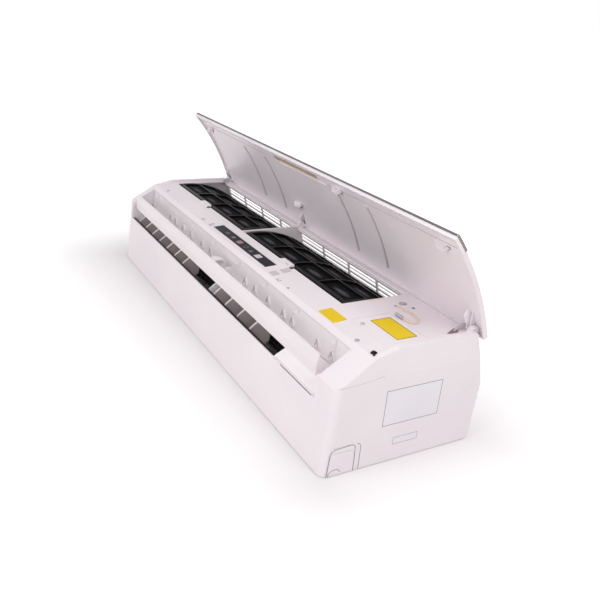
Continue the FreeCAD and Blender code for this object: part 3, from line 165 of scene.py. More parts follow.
def ranged(tree, source, low, high, start=0.3, end=0.7):
    return wire(tree, "ShaderNodeMapRange", {"Value": source, "From Min": start, "From Max": end, "To Min": low,
                                             "To Max": high}).outputs["Result"]


def blended(tree, factor, first, second):
    return wire(tree, "ShaderNodeMix", {0: factor, 6: first, 7: second}, data_type="RGBA").outputs[2]


def toned(tree, tone, light, dark):
    return blended(tree, ranged(tree, tone, 0.0, 1.0), paint(*light), paint(*dark))


def bumped(tree, height, strength, depth):
    bump = {"Height": height, "Strength": strength, "Distance": depth}
    return wire(tree, "ShaderNodeBump", bump).outputs["Normal"]


def own_place(tree):
    return wire(tree, "ShaderNodeTexCoord").outputs["Object"]


def node_group(name, kind, inputs, outputs, output_kind):
    """Empty group with named inputs, each a value or the name of a kind, and named outputs."""
    group = bpy.data.node_groups.new(name, kind)
    kinds = {float: "Float", int: "Int", tuple: "Vector"}
    for label, value in inputs.items():
        socket_kind = "NodeSocket" + kinds.get(type(value), str(value))
        socket = group.interface.new_socket(label, in_out="INPUT", socket_type=socket_kind)
        if type(value) in kinds:
            socket.default_value = value
    for label in outputs:
        group.interface.new_socket(label, in_out="OUTPUT", socket_type="NodeSocket" + output_kind)
    return group, group.nodes.new("NodeGroupInput"), group.nodes.new("NodeGroupOutput")


print("node helpers", [one.__name__ for one in (wire, sums, ranged, blended, toned, bumped)])

# %% [markdown]
# Two effects return in nearly every finish. Moulded plastic has a fine skin grain from its tool and a slow
# change of tone. Drawn or rolled metal has thin lines along one direction. Each is a group with its own
# inputs, so that every finish sets the scale that fits its piece.

# %% Shader groups for grain and lines
grain, grain_in, grain_out = node_group("moulded grain", "ShaderNodeTree", {
    "Grain Scale": 1400.0, "Tone Scale": 7.0, "Speck Scale": 260.0}, ("Height", "Tone", "Speck"), "Float")
place = own_place(grain)
scales = grain_in.outputs
for label, output, detail in (("Grain Scale", "Height", 2.0), ("Tone Scale", "Tone", 4.0)):
    noise = wire(grain, "ShaderNodeTexNoise", {"Vector": place, "Scale": scales[label], "Detail": detail})
    feed(grain, grain_out, {output: noise.outputs["Fac"]})
cells = wire(grain, "ShaderNodeTexVoronoi", {"Vector": place, "Scale": scales["Speck Scale"]})
feed(grain, grain_out, {"Speck": ranged(grain, cells.outputs["Distance"], 1.0, 0.0, 0.06, 0.12)})

lines, lines_in, lines_out = node_group("drawn lines", "ShaderNodeTree", {
    "Along X": 6.0, "Along Y": 900.0, "Along Z": 900.0}, ("Streak",), "Float")
stretch = vector(lines, **{axis: lines_in.outputs["Along " + axis] for axis in "XYZ"})
scaled = out_of(lines, "ShaderNodeVectorMath", {0: own_place(lines), 1: stretch}, operation="MULTIPLY")
streaks = wire(lines, "ShaderNodeTexNoise", {"Vector": scaled, "Scale": 1.0, "Detail": 3.0})
feed(lines, lines_out, {"Streak": streaks.outputs["Fac"]})
print("groups", grain.name, "and", lines.name)

# %% [markdown]
# Moulded plastics differ in colour, gloss and grain, but are built alike: the slow tone moves between two
# close paints, the specks are dust, and the grain drives a bump and the roughness. One function makes them
# all from a row of values.

# %% Plastic finishes


def blank_finish(name):
    material = bpy.data.materials.new(name)
    material.use_nodes = True
    return material, material.node_tree.nodes["Principled BSDF"], material.node_tree


def skin_of(tree, group, values):
    return wire(tree, "ShaderNodeGroup", values, node_tree=group).outputs


def plastic(name, light, dark, rough, grain_scale=1400.0, depth=0.00004, specks=0.25,
            speck_paint=(140, 136, 134), shine=0.5):
    material, shader, tree = blank_finish(name)
    skin = skin_of(tree, grain, {"Grain Scale": grain_scale})
    dust_and_painted_glint = ranged(tree, skin["Speck"], 0.0, specks, 0.0, 1.0)
    feed(tree, shader, {
        "Base Color": blended(tree, dust_and_painted_glint, toned(tree, skin["Tone"], light, dark), paint(*speck_paint)),
        "Roughness": ranged(tree, skin["Height"], rough - 0.05, rough + 0.07),
        "Specular IOR Level": shine, "Normal": bumped(tree, skin["Height"], 0.35, depth)})
    return material


def plastics(*rows, **shared):
    """One finish for each row of a name, two paints and a roughness."""
    for name, *values in rows:
        finishes[name.replace(" ", "_")] = plastic(name, *values, **shared)


finishes = {"lead_brown": plastic("lead pale brown", (236, 216, 190), (224, 198, 166), 0.4, 2200.0)}
plastics(
    ("casing white", (243, 235, 238), (238, 229, 234), 0.44),
    # base white is the casing white painted lighter, so that the drain pan and rear casing in the shaded outlet
    # recess read bright: painted light.
    ("base white", (252, 247, 249), (247, 241, 243), 0.5),
    ("panel white", (243, 235, 239), (237, 228, 233), 0.34, 1800.0, 0.00003),
    ("louver white", (243, 235, 238), (238, 229, 233), 0.4),
    ("filter black", (11, 11, 12), (16, 16, 18), 0.36, 1100.0, 0.00006, 0.2, (50, 50, 52), 0.15),
    ("fan grey", (62, 63, 66), (74, 75, 78), 0.45),
    ("vane grey", (136, 124, 124), (122, 110, 110), 0.5, 1200.0, 0.00008, 0.6, (86, 78, 78)),
    ("box grey", (150, 152, 156), (138, 140, 145), 0.46),
    ("terminal white", (226, 222, 210), (214, 210, 198), 0.42),
    ("window tan", (190, 166, 140), (172, 146, 120), 0.3, 900.0))
print("plastic finishes", len(finishes))

# %% [markdown]
# The metals share one recipe as well: streaks along the direction of drawing or rolling, and a slow tone
# for oxide. Galvanised sheet is the exception: its zinc sets in flakes, which the cells of a Voronoi
# pattern draw.

# %% Metal finishes


def metal(name, light, dark, rough, along=(6.0, 900.0, 900.0), metallic=1.0, depth=0.00002):
    material, shader, tree = blank_finish(name)
    tone = skin_of(tree, grain, {"Grain Scale": 500.0, "Tone Scale": 14.0})["Tone"]
    streak = skin_of(tree, lines, {"Along X": along[0], "Along Y": along[1], "Along Z": along[2]})["Streak"]
    feed(tree, shader, {
        "Base Color": toned(tree, tone, light, dark), "Metallic": metallic,
        "Roughness": ranged(tree, streak, rough - 0.07, rough + 0.1),
        "Normal": bumped(tree, streak, 0.3, depth)})
    return material


for slot, *values in (
    ("trim_grey", "trim silver", (140, 132, 129), (130, 122, 119), 0.26, (4.0, 30.0, 30.0), 0.7, 0.0),
    ("steel", "steel", (186, 187, 190), (160, 161, 165), 0.3, (900.0, 900.0, 60.0)),
    ("fin_aluminium", "fin aluminium", (196, 199, 203), (178, 181, 186), 0.36, (900.0, 900.0, 8.0)),
    ("copper", "copper tube", (200, 122, 84), (158, 88, 58), 0.3),
    ("union_brass", "union brass", (206, 168, 98), (180, 140, 76), 0.32, (900.0, 60.0, 900.0)),
    ("sensor_silver", "sensor silver", (206, 206, 210), (180, 181, 186), 0.24),
):
    finishes[slot] = metal(*values)
finishes["galvanised"], shader, tree = blank_finish("galvanised sheet")
spangle = wire(tree, "ShaderNodeTexVoronoi", {"Vector": own_place(tree), "Scale": 130.0}).outputs["Color"]
flake = ranged(tree, spangle, 0.0, 1.0, 0.1, 0.9)
feed(tree, shader, {
    "Base Color": blended(tree, flake, paint(168, 172, 177), paint(196, 199, 203)), "Metallic": 0.9,
    "Roughness": ranged(tree, spangle, 0.3, 0.48, 0.1, 0.9)})
print("finishes", len(finishes))

# %% [markdown]
# The trim's silver is only a skin round the outside of the panel's free edge. On the end caps it stops half
# way in and shows the white moulding. The border is a radius about the axis of the panel's arc, which the
# open panel has carried round with it.

# %% White inner half of the trim caps
tree = finishes["trim_grey"].node_tree
shader = tree.nodes["Principled BSDF"]
flat = out_of(tree, "ShaderNodeVectorMath", {0: own_place(tree), 1: (0, 1, 1)}, operation="MULTIPLY")
axis = on_panel(0, ARC_Y, ARC_Z)
reach = wire(tree, "ShaderNodeVectorMath", {0: flat, 1: axis}, operation="DISTANCE")
outer = ranged(tree, reach.outputs["Value"], 0.0, 1.0, 0.4668, 0.4672)
silver = shader.inputs["Base Color"].links[0].from_socket
feed(tree, shader, {"Base Color": blended(tree, outer, paint(243, 235, 239), silver),
                    "Metallic": ranged(tree, outer, 0.0, 0.7, 0.0, 1.0)})
print("trim nodes", len(tree.nodes))

# %% [markdown]
# The display strip is a smoked cover, nearly black and smooth. The filter net is black too, with a
# painted glint, a lighter grey, in the middle of each cell, where its threads carry a value named pocket.
# The boards are lacquered green, with tracks drawn by a brick pattern because tracks run straight.

# %% Display, net and board finishes
finishes["display_black"], shader, tree = blank_finish("display smoke")
skin = skin_of(tree, grain, {"Grain Scale": 700.0, "Tone Scale": 20.0})
feed(tree, shader, {
    "Base Color": toned(tree, skin["Tone"], (19, 18, 21), (27, 26, 30)), "Specular IOR Level": 0.12,
    "Roughness": ranged(tree, skin["Height"], 0.24, 0.36)})

finishes["net_black"], shader, tree = blank_finish("net black")
skin = skin_of(tree, grain, {"Grain Scale": 1600.0, "Tone Scale": 45.0})
thread = toned(tree, skin["Tone"], (9, 9, 10), (16, 16, 17))
pocket = wire(tree, "ShaderNodeAttribute", attribute_name="pocket").outputs["Fac"]
# Where a cell swells the net is painted a lighter grey: a painted glint, the sheen of the swelling net.
dust_and_painted_glint = ranged(tree, pocket, 0.0, 0.8, 0.74, 0.99)
feed(tree, shader, {
    "Base Color": blended(tree, dust_and_painted_glint, thread, paint(98, 98, 103)), "Specular IOR Level": 0.12,
    "Roughness": ranged(tree, skin["Height"], 0.42, 0.55)})

finishes["board_green"], shader, tree = blank_finish("board lacquer")
flat = out_of(tree, "ShaderNodeMapping", {"Vector": own_place(tree), "Rotation": (math.radians(90), 0, 0)})
tracks = wire(tree, "ShaderNodeTexBrick", {
    "Vector": flat, "Scale": 90.0, "Mortar Size": 0.06, "Color1": paint(36, 92, 58),
    "Color2": paint(30, 80, 50), "Mortar": paint(74, 128, 84)})
feed(tree, shader, {"Base Color": tracks.outputs["Color"],
                    "Roughness": ranged(tree, tracks.outputs["Fac"], 0.3, 0.42, 0.0, 1.0)})

# %% [markdown]
# A CAD node arrives with one plain material, named for its slot in the record. Handing the finish to that
# material slot changes the look and leaves the solid as it is.

# %% Finishes on the CAD nodes
for solid in nodes.values():
    wanted = solid.data.materials[0].name.split(".")[0]
    solid.data.materials[0] = finishes[wanted]
print("nodes with a finish", len(nodes))

# %% [markdown]
# Added pieces go through one door: a shape in place, the names of its finishes and the body that it rides
# on. Thin plates are outlines pushed out along a normal, with their back on the surface that carries them.
# Bands and rims are a skin over equal loops of points.

# %% Helpers for added pieces
made = []


def finished_mesh(name, bm):
    mesh = bpy.data.meshes.new(name)
    bm.to_mesh(mesh)
    bm.free()
    return mesh


def add_piece(name, shape, looks, body="casing", slot="casing_white", *stands_for):
    """Put a shape on its body, with its finishes named in one string."""
    data = finished_mesh(name, shape) if isinstance(shape, bmesh.types.BMesh) else shape
    if not data.materials:
        for look in looks.split():
            data.materials.append(finishes[look])
    piece = scene_object(name, data)
    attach(piece, body)
    if stands_for:
        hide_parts(*stands_for)
    made.append(name)
    return piece


def tube_mesh(bm, loops, material=0, smooth=False, hollow=False):
    """Closed skin over equal loops of points, capped at its ends or joined into a ring."""
    rows = [[bm.verts.new(p) for p in loop] for loop in loops]
    fresh = [] if hollow else [bm.faces.new(rows[0]), bm.faces.new(rows[-1][::-1])]
    for first, second in zip(rows, rows[1:] + rows[:1] if hollow else rows[1:]):
        for i in range(len(first)):
            fresh.append(bm.faces.new((first[i - 1], second[i - 1], second[i], first[i])))
    for face in fresh:
        face.material_index, face.smooth = material, smooth
    bmesh.ops.recalc_face_normals(bm, faces=fresh)


def plate_mesh(bm, outline, push, material=0):
    """Closed thin plate from an outline and the step to its outer face."""
    tube_mesh(bm, (outline, [p + push for p in outline]), material)


def add_plates(name, outlines, push, *rest):
    """Add one piece of thin plates that are pushed alike."""
    bm = bmesh.new()
    for outline in outlines:
        plate_mesh(bm, outline, push)
    add_piece(name, bm, *rest)


print("piece helpers", [one.__name__ for one in (add_piece, tube_mesh, plate_mesh, add_plates)])

# %% [markdown]
# Most outlines on the unit are rectangles, plain or rounded, arcs and lines of one width. They are drawn
# flat, and the piece that uses them says where they lie.

# %% Outlines and lines
PRINT, PAPER, BOSS = Vector((0, -0.00006, 0)), Vector((0, -0.00008, 0)), Vector((0, -0.0006, 0))


def arc(middle, radius, start, end, steps=6):
    angles = [math.radians(start + (end - start) * i / steps) for i in range(steps + 1)]
    return [(middle[0] + radius * math.cos(a), middle[1] + radius * math.sin(a)) for a in angles]


def in_section(x, outline):
    return [at(x, y, z) for y, z in outline]


def on_face(outline, x=0.0, z=0.0):
    return [at(x + u, FACE_Y, z + v) for u, v in outline]


def on_ledge(outline, x=0.0, z=0.0, inset=-0.02):
    return [at(x + u, ledge_y(z + v, inset), z + v) for u, v in outline]


def ring(radius, sides):
    return arc((0, 0), radius, 0, 360, sides)[:-1]


def rectangle(x0, x1, y0, y1):
    return (x0, y0), (x1, y0), (x1, y1), (x0, y1)


def rounded(width, height, radius, steps=5):
    """Outline of a rounded rectangle about its middle."""
    points = []
    for corner, (sx, sy) in enumerate(((1, 1), (-1, 1), (-1, -1), (1, -1))):
        middle = (sx * (width / 2 - radius), sy * (height / 2 - radius))
        points += arc(middle, radius, 90 * corner, 90 * corner + 90, steps)
    return points


def directions(path):
    """Every point of a path with the direction of the path there."""
    for i, point in enumerate(path):
        before, after = path[max(i - 1, 0)], path[min(i + 1, len(path) - 1)]
        yield Vector(point), Vector((after[0] - before[0], after[1] - before[1])).normalized()


def line_mesh(bm, path, width, put, high=0.07, material=0):
    """Thin raised line of one width along a path of points on a surface."""
    left, right = [], []
    for point, run in directions(path):
        across = Vector((-run.y, run.x)) * width / 2
        left.append(point + across)
        right.append(point - across)
    for i in range(len(path) - 1):
        corners = (left[i], left[i + 1], right[i + 1], right[i])
        back = [put(u, v, 0.0) for u, v in corners]
        plate_mesh(bm, back, put(*corners[0], high) - back[0], material)


print("a rounded outline has", len(rounded(10, 10, 2)), "points")

# %% [markdown]
# What repeats many times is grown by Geometry Nodes. A tree has named inputs, and it ends by making its
# instances real and setting their finish. It runs on an empty object, and the result is kept as a plain
# mesh that no longer depends on the tree.

# %% Geometry Nodes helpers


def geometry_tree(name, inputs):
    return node_group(name, "GeometryNodeTree", inputs, ("Geometry",), "Geometry")


def end_tree(tree, geometry, finish, out):
    real = out_of(tree, "GeometryNodeRealizeInstances", {"Geometry": geometry})
    feed(tree, out, {0: out_of(tree, "GeometryNodeSetMaterial", {"Geometry": real, "Material": finish})})


def grown_mesh(name, tree, values):
    """Run a tree on an empty object and keep the result as a plain mesh."""
    seed = scene_object(name + " seed", bpy.data.meshes.new(name + " seed"))
    modifier = seed.modifiers.new("grow", "NODES")
    modifier.node_group = tree
    for socket in tree.interface.items_tree:
        if socket.in_out == "INPUT" and socket.name in values:
            modifier[socket.identifier] = values[socket.name]
    graph = bpy.context.evaluated_depsgraph_get()
    mesh = bpy.data.meshes.new_from_object(seed.evaluated_get(graph))
    mesh.name = name
    seed.modifiers.remove(modifier)
    bpy.data.objects.remove(seed)
    return mesh


print("tree helpers", [one.__name__ for one in (geometry_tree, end_tree, grown_mesh)])

# %% [markdown]
# Air filters carry a fine net behind their frame. Strands drawn by hand would be long work, and a bump
# would not let light through. So a tree lays strands both ways on a flat sheet: a line set on a row of
# points, one pitch apart, with a small section as its body.

# %% Net of strands laid flat
FILTER_RADIUS, NET_RADIUS, FILTER_AXIS_Y, FILTER_AXIS_Z = 0.1895, 0.1896, 0.015, -0.045
net, net_in, net_out = geometry_tree("filter net", {
    "Start": -0.443, "Width": 0.3555, "Run": 0.126, "Pitch": 0.0021, "Strand": 0.00055, "Billow": 0.0016,
    "Cell": 0.0885, "Row": 0.042, "Radius": NET_RADIUS, "Low Angle": 0.0, "Axis Y": FILTER_AXIS_Y,
    "Axis Z": FILTER_AXIS_Z, "Finish": "Material"})
given = net_in.outputs
both = wire(net, "GeometryNodeJoinGeometry")
for axis, length, other, spread, count in (("X", "Width", "Y", "Run", 49), ("Y", "Run", "X", "Width", 26)):
    line = out_of(net, "GeometryNodeCurvePrimitiveLine", {"End": vector(net, **{axis: given[length]})})
    strand = out_of(net, "GeometryNodeResampleCurve", {"Curve": line, "Count": count})
    number = sums(net, "DIVIDE", given[spread], given["Pitch"])
    step = vector(net, **{other: given["Pitch"]})
    row = out_of(net, "GeometryNodeMeshLine", {"Count": number, "Offset": step})
    feed(net, both, {0: out_of(net, "GeometryNodeInstanceOnPoints", {"Points": row, "Instance": strand})})
loose = out_of(net, "GeometryNodeRealizeInstances", {"Geometry": both.outputs[0]})
section = out_of(net, "GeometryNodeCurvePrimitiveCircle", {"Resolution": 4, "Radius": given["Strand"]})
strands = out_of(net, "GeometryNodeCurveToMesh", {"Curve": loose, "Profile Curve": section, "Fill Caps": True})
print("nodes for the flat net", len(net.nodes))

# %% [markdown]
# The same tree then gives the sheet its form. The strands wave a little, as in a net set by heat, and each
# cell of the frame lets the net swell out. Last the sheet is bent round the filter's axis, and where a cell
# swells, the value named pocket is stored for the painted glint.

# %% Net bent round the filter
WAVE_TURN, WAVE_WIDTH = 260.0, 0.0011


def calc(operation, first, second=0.0):
    return sums(net, operation, first, second)


flat = wire(net, "ShaderNodeSeparateXYZ", {0: out_of(net, "GeometryNodeInputPosition")}).outputs
wave = calc("MULTIPLY", calc("SINE", calc("MULTIPLY", flat["Y"], WAVE_TURN)), WAVE_WIDTH)
bend = calc("ADD", calc("DIVIDE", flat["Y"], given["Radius"]), given["Low Angle"])
swell_x, swell_y = [calc("SINE", calc("MULTIPLY", calc("DIVIDE", flat[axis], given[size]), math.pi))
                    for axis, size in (("X", "Cell"), ("Y", "Row"))]
billow = calc("MULTIPLY", calc("ABSOLUTE", calc("MULTIPLY", swell_x, swell_y)), given["Billow"])
reach = calc("ADD", calc("ADD", given["Radius"], flat["Z"]), billow)
curved = vector(
    net, X=calc("ADD", calc("ADD", flat["X"], given["Start"]), wave),
    Y=calc("SUBTRACT", given["Axis Y"], calc("MULTIPLY", reach, calc("COSINE", bend))),
    Z=calc("ADD", given["Axis Z"], calc("MULTIPLY", reach, calc("SINE", bend))))
# The pocket value is the mask of the painted glint, long along the filter and short across it.
long_way = calc("POWER", calc("ABSOLUTE", swell_x), 0.5)
short_way = calc("POWER", calc("ABSOLUTE", swell_y), 2.0)
kept = out_of(net, "GeometryNodeStoreNamedAttribute", {
    "Geometry": strands, "Name": "pocket", "Value": calc("MULTIPLY", long_way, short_way)},
    data_type="FLOAT", domain="POINT")
shaped = out_of(net, "GeometryNodeSetPosition", {"Geometry": kept, "Position": curved})
end_tree(net, shaped, given["Finish"], net_out)
print("nodes for the whole net", len(net.nodes))

# %% [markdown]
# Each filter has its own net, which slides out with it and stands for the thin sheet of the CAD model. The
# sheet's box gives the width and the two angles between which the net runs.

# %% Filter nets
for side in ("left", "right"):
    low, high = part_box("filter_%s_net" % side)
    low_angle, high_angle = [math.asin((edge.z - FILTER_AXIS_Z) / FILTER_RADIUS) for edge in (low, high)]
    mesh = grown_mesh("filter_%s_strands" % side, net, {
        "Start": low.x + 0.003, "Width": high.x - low.x - 0.006, "Radius": NET_RADIUS, "Low Angle": low_angle,
        "Run": (high_angle - low_angle) * FILTER_RADIUS, "Finish": finishes["net_black"]})
    add_piece("filter_%s_strands" % side, mesh, "net_black", "filter_" + side, "net_black",
              "filter_%s_net" % side)
    print(side, "net faces", len(mesh.polygons))

# %% [markdown]
# The coil is a pack of thin aluminium fins on copper tubes. In the CAD it is three plain slabs, which is
# right for weight and collision. Here a tree stacks real fins along the length, so that light falls between
# them. The two ends of a slab's front line in the section give its lean and its middle.

# %% Coil fins
COIL_START, COIL_DEPTH = -440, 22
FIN_COUNT, FIN_PITCH, FIN_SHEET = 397, 0.0018, 0.00035
fins, fins_in, fins_out = geometry_tree("fin stack", {
    "Count": 400, "Pitch": FIN_PITCH, "Size": (0.0003, 0.022, 0.07), "Middle": (0, 0, 0), "Turn": 0.0,
    "Finish": "Material"})
given = fins_in.outputs
row = out_of(fins, "GeometryNodeMeshLine", {
    "Count": given["Count"], "Start Location": given["Middle"], "Offset": vector(fins, X=given["Pitch"])})
sheet = out_of(fins, "GeometryNodeMeshCube", {"Size": given["Size"]})
stack = out_of(fins, "GeometryNodeInstanceOnPoints", {
    "Points": row, "Instance": sheet, "Rotation": vector(fins, X=given["Turn"])})
end_tree(fins, stack, given["Finish"], fins_out)
for name, start, end in (
    ("coil_front_lower", (-164, 76), (-164, 146)),
    ("coil_front_upper", (-162, 161), (-116, 250)),
    ("coil_rear", (-76, 254), (-22, 168)),
):
    run = math.dist(start, end)
    along = ((end[0] - start[0]) / run, (end[1] - start[1]) / run)
    middle = at(COIL_START + 1.2, (start[0] + end[0] + along[1] * COIL_DEPTH) / 2,
                (start[1] + end[1] - along[0] * COIL_DEPTH) / 2)
    mesh = grown_mesh(name + "_fins", fins, {
        "Count": FIN_COUNT, "Pitch": FIN_PITCH, "Size": (FIN_SHEET, COIL_DEPTH / 1000, run / 1000),
        "Middle": tuple(middle), "Turn": math.atan2(-along[0], along[1]), "Finish": finishes["fin_aluminium"]})
    add_piece(name + "_fins", mesh, "fin_aluminium", "casing", "fin_aluminium", name)
    print(name, "fins", len(mesh.polygons) // 6)

# %% [markdown]
# Stickers are paper with a little sheen. Each is a thin rounded plate on the surface that carries it, and a
# flat ring just above it is its border. The plate on the end face is made the same way.

# %% Stickers and rating plate
paper = {"grain_scale": 2400.0, "depth": 0.00002, "specks": 0.1}
plastics(("sticker yellow", (240, 208, 24), (234, 198, 18), 0.5), shine=0.2, **paper)
plastics(
    ("sticker line", (70, 62, 40), (84, 74, 48), 0.5),
    ("label silver", (240, 236, 241), (234, 230, 236), 0.36),
    ("label line", (118, 116, 124), (132, 130, 138), 0.45), **paper)


def sticker(name, middle, across, up, width, height, looks, border=None):
    """Thin plate on a surface; a border is its inset and its width."""
    across, up = across.normalized(), up.normalized()
    out = across.cross(up) / 1000

    def spread(outline):
        return [middle + (across * u + up * v) / 1000 for u, v in outline]

    bm = bmesh.new()
    plate_mesh(bm, spread(rounded(width, height, 1.5)), out * 0.08)
    if border:
        inset, thick = border
        outer = rounded(width - inset * 2, height - inset * 2, 0.8)
        inner = rounded(width - (inset + thick) * 2, height - (inset + thick) * 2, 0.6)
        edges = [[bm.verts.new(p + out * 0.1) for p in spread(loop)] for loop in (outer, inner)]
        for i in range(len(outer)):
            j = (i + 1) % len(outer)
            face = bm.faces.new((edges[0][i], edges[0][j], edges[1][j], edges[1][i]))
            face.material_index = 1
    add_piece(name, bm, looks)


side, back, up = Vector((1, 0, 0)), Vector((0, 1, 0)), Vector((0, 0, 1))
ledge_up = Vector((0, -4, 51))
yellow, silver = "sticker_yellow sticker_line", "label_silver label_line"
sticker("ledge_sticker", at(326, ledge_y(86.5), 86.5), side, ledge_up, 46, 25, yellow)
sticker("cover_sticker", at(399.5, -179.8, 147.5), side, up, 69, 37, yellow, (0.3, 1.1))
sticker("rating_plate", at(470, -93, 146), back, up, 60, 102, silver, (0.6, 0.9))
sticker("end_sticker", at(470, -33.5, 142), back, up, 13, 46, silver, (0.4, 0.6))
print("stickers", made[-4:])

# %% [markdown]
# The turning vanes have a pale rim along their free edges: a round strip that follows the outline, a little
# thicker than the blade. Each vane turns by itself, so each gets its own strip, drawn on the flat and set
# down by the same tilt and turn as the blade.

# %% Vane rims
THROAT, VANE_TURN, VANE_SEAT = math.radians(36.7), math.radians(-42), 26
SEAT = (-103 + VANE_SEAT * math.cos(THROAT), 7.764 + VANE_SEAT * math.sin(THROAT))
STAND = Matrix.Rotation(THROAT, 3, "X") @ Matrix.Rotation(VANE_TURN, 3, "Z")
RIM_WIDTH, RIM_THICK, RIM_PROUD = 3.4, 1.8, 0.25
plastics(("rim pale", (238, 229, 231), (228, 218, 221), 0.42))
vane_edge = [(20, 2.2)] + arc((-8, 10), 8, 270, 180) + arc((-8, 31.3), 8, 180, 97) + [(6, 36.4)]
vane_spots = [("vane_left_%d" % (i + 1), -426 + 48.5 * i) for i in range(7)]
vane_spots += [("vane_right_%d" % (i + 1), 31 + 52 * i) for i in range(4)]
rim_section = arc((0, 0), 1, 22.5, 337.5, 7)
for name, x in vane_spots:
    loops = []
    for point, run in directions(vane_edge):
        inward = Vector((run.y, -run.x))
        outer, inner = point - inward * RIM_PROUD, point + inward * RIM_WIDTH
        flat = [Vector((RIM_THICK * v, *outer.lerp(inner, 0.5 + 0.5 * u))) for u, v in rim_section]
        loops.append([at(*(STAND @ p + Vector((x, *SEAT)))) for p in flat])
    bm = bmesh.new()
    tube_mesh(bm, loops, smooth=True)
    add_piece(name + "_rim", bm, "rim_pale", name, "vane_grey")
print("vane rims", len(vane_spots))

# %% [markdown]
# A black strip between the outlet lip and the throat floor paints the shade in the joint there, a dark
# line along the air channel. It is a plain strip with a slightly crowned top.

# %% Lip shade strip
# The black of this strip is painted shade.
lip_section = ((-102.4, 10.0), (-100.2, 10.0), (-100.0, 15.6), (-100.8, 16.5), (-101.6, 16.6), (-102.4, 15.9))
add_plates("lip_seal", [in_section(-445.5, lip_section)], Vector((0.731, 0, 0)), "filter_black", "casing",
           "filter_black")
print("lip shade strip", made[-1])

# %% [markdown]
# Behind the smoked display cover small symbols show: bars, a ring of dots, a triangle and a lit square.
# They are thin plates on the cover's face, and every one is a plain shape.

# %% Display symbols
plastics(
    ("symbol grey", (112, 108, 114), (126, 122, 128), 0.4),
    ("symbol rose", (158, 128, 132), (148, 118, 122), 0.4),
    ("symbol lit", (214, 208, 212), (204, 198, 202), 0.4), grain_scale=2400.0, depth=0.00001, specks=0.1)
GREY, ROSE, LIT = range(3)
SYMBOL_Z = 90.5
symbols = [(rounded(9, 1.6, 0.5, 2), -77, z, GREY) for z in (87.5, 90.5, 93.5)]
symbols.append((rounded(9, 8, 1.5), -50, SYMBOL_Z, GREY))
symbols.append((rounded(16, 11, 1.2), -21, SYMBOL_Z, ROSE))
symbols += [(ring(0.9, 8), 8 + u, SYMBOL_Z + v, GREY) for u, v in ring(4.4, 12)]
symbols.append((((5, -4), (0, 5), (-5, -4)), 31, SYMBOL_Z, GREY))
symbols.append((rounded(17, 12, 1.2), 60, SYMBOL_Z, LIT))
bm = bmesh.new()
for outline, x, z, material in symbols:
    plate_mesh(bm, on_ledge(outline, x, z, 0.4), PRINT, material)
add_piece("display_symbols", bm, "symbol_grey symbol_rose symbol_lit", "casing", "display_black")
print("display symbols", len(symbols))

# %% [markdown]
# Each filter is pulled by a small grip at its lower edge. On the real unit a white clip sits over a black tab.
# A rounded box with a bevel round its front is enough, because the grip is a plain moulding with soft edges.

# %% Filter grips
GRIP_BACK, GRIP_FRONT = -179.9, -184.1
for side, middle in (("left", -265.25), ("right", 115.25)):
    bm = bmesh.new()
    body = [at(middle + u, GRIP_BACK, 119.5 + v) for u, v in rounded(38, 13, 2.5)]
    plate_mesh(bm, body, Vector((0, -0.0042, 0)))
    rim = [e for e in bm.edges if all(abs(v.co.y - GRIP_FRONT / 1000) < 1e-5 for v in e.verts)]
    bmesh.ops.bevel(bm, geom=rim, offset=0.0011, segments=3, profile=0.6, affect="EDGES")
    # The black slit is a flat plate that paints the shade of a slit.
    slit = [at(middle + 11 + u, GRIP_FRONT, 113.9 + v) for u, v in rounded(12, 0.9, 0.3, 2)]
    plate_mesh(bm, slit, PRINT, 1)
    tab = [at(middle + 22 + u, -180.02, 118 + v) for u, v in rounded(6, 8, 1)]
    plate_mesh(bm, tab, BOSS, 1)
    add_piece("filter_%s_grip" % side, bm, "casing_white filter_black", "filter_" + side, "casing_white")
print("grips", made[-2:])

# %% [markdown]
# The inside of the panel shows how it was moulded: a bead round its edge, long ribs with a grey strip of
# painted shade at their feet, a step with a grey line of painted shade, a lip beside the window, and four
# hooks beside small dark plates that paint the shade of their slots. All are drawn on the closed panel and
# turned open with it. Most are strips that follow the arc, so one function makes them.

# %% Panel bead, painted rib shade, hooks and trim edge
# The grey of the strips at the feet of the ribs and along the step is painted shade, and so is the dark of the
# plates by the hooks and on the lip.
plastics(("fold grey", (196, 184, 187), (188, 176, 179), 0.5), ("slot dark", (74, 68, 70), (60, 55, 57), 0.6))
finishes["edge_grey"] = metal("edge grey", (104, 102, 106), (86, 84, 88), 0.4, metallic=0.4)
HOOKS = ((-430, 118), (-73, 217), (148, 110), (424, 118))


def panel_piece(name, strips, high, look, slot="panel_white", lift=PANEL_SKIN):
    """Strips on the closed panel, each between two lengths and two heights, in some steps."""
    bm = bmesh.new()
    for x0, x1, z0, z1, steps in strips:
        loops = []
        for i in range(steps + 1):
            z = z0 + (z1 - z0) * i / steps
            low, top = panel_y(z, lift), panel_y(z, lift + high)
            loops.append([on_panel(x, y, z) for x, y in rectangle(x0, x1, low, top)])
        tube_mesh(bm, loops)
    add_piece(name, bm, look, "panel", slot)


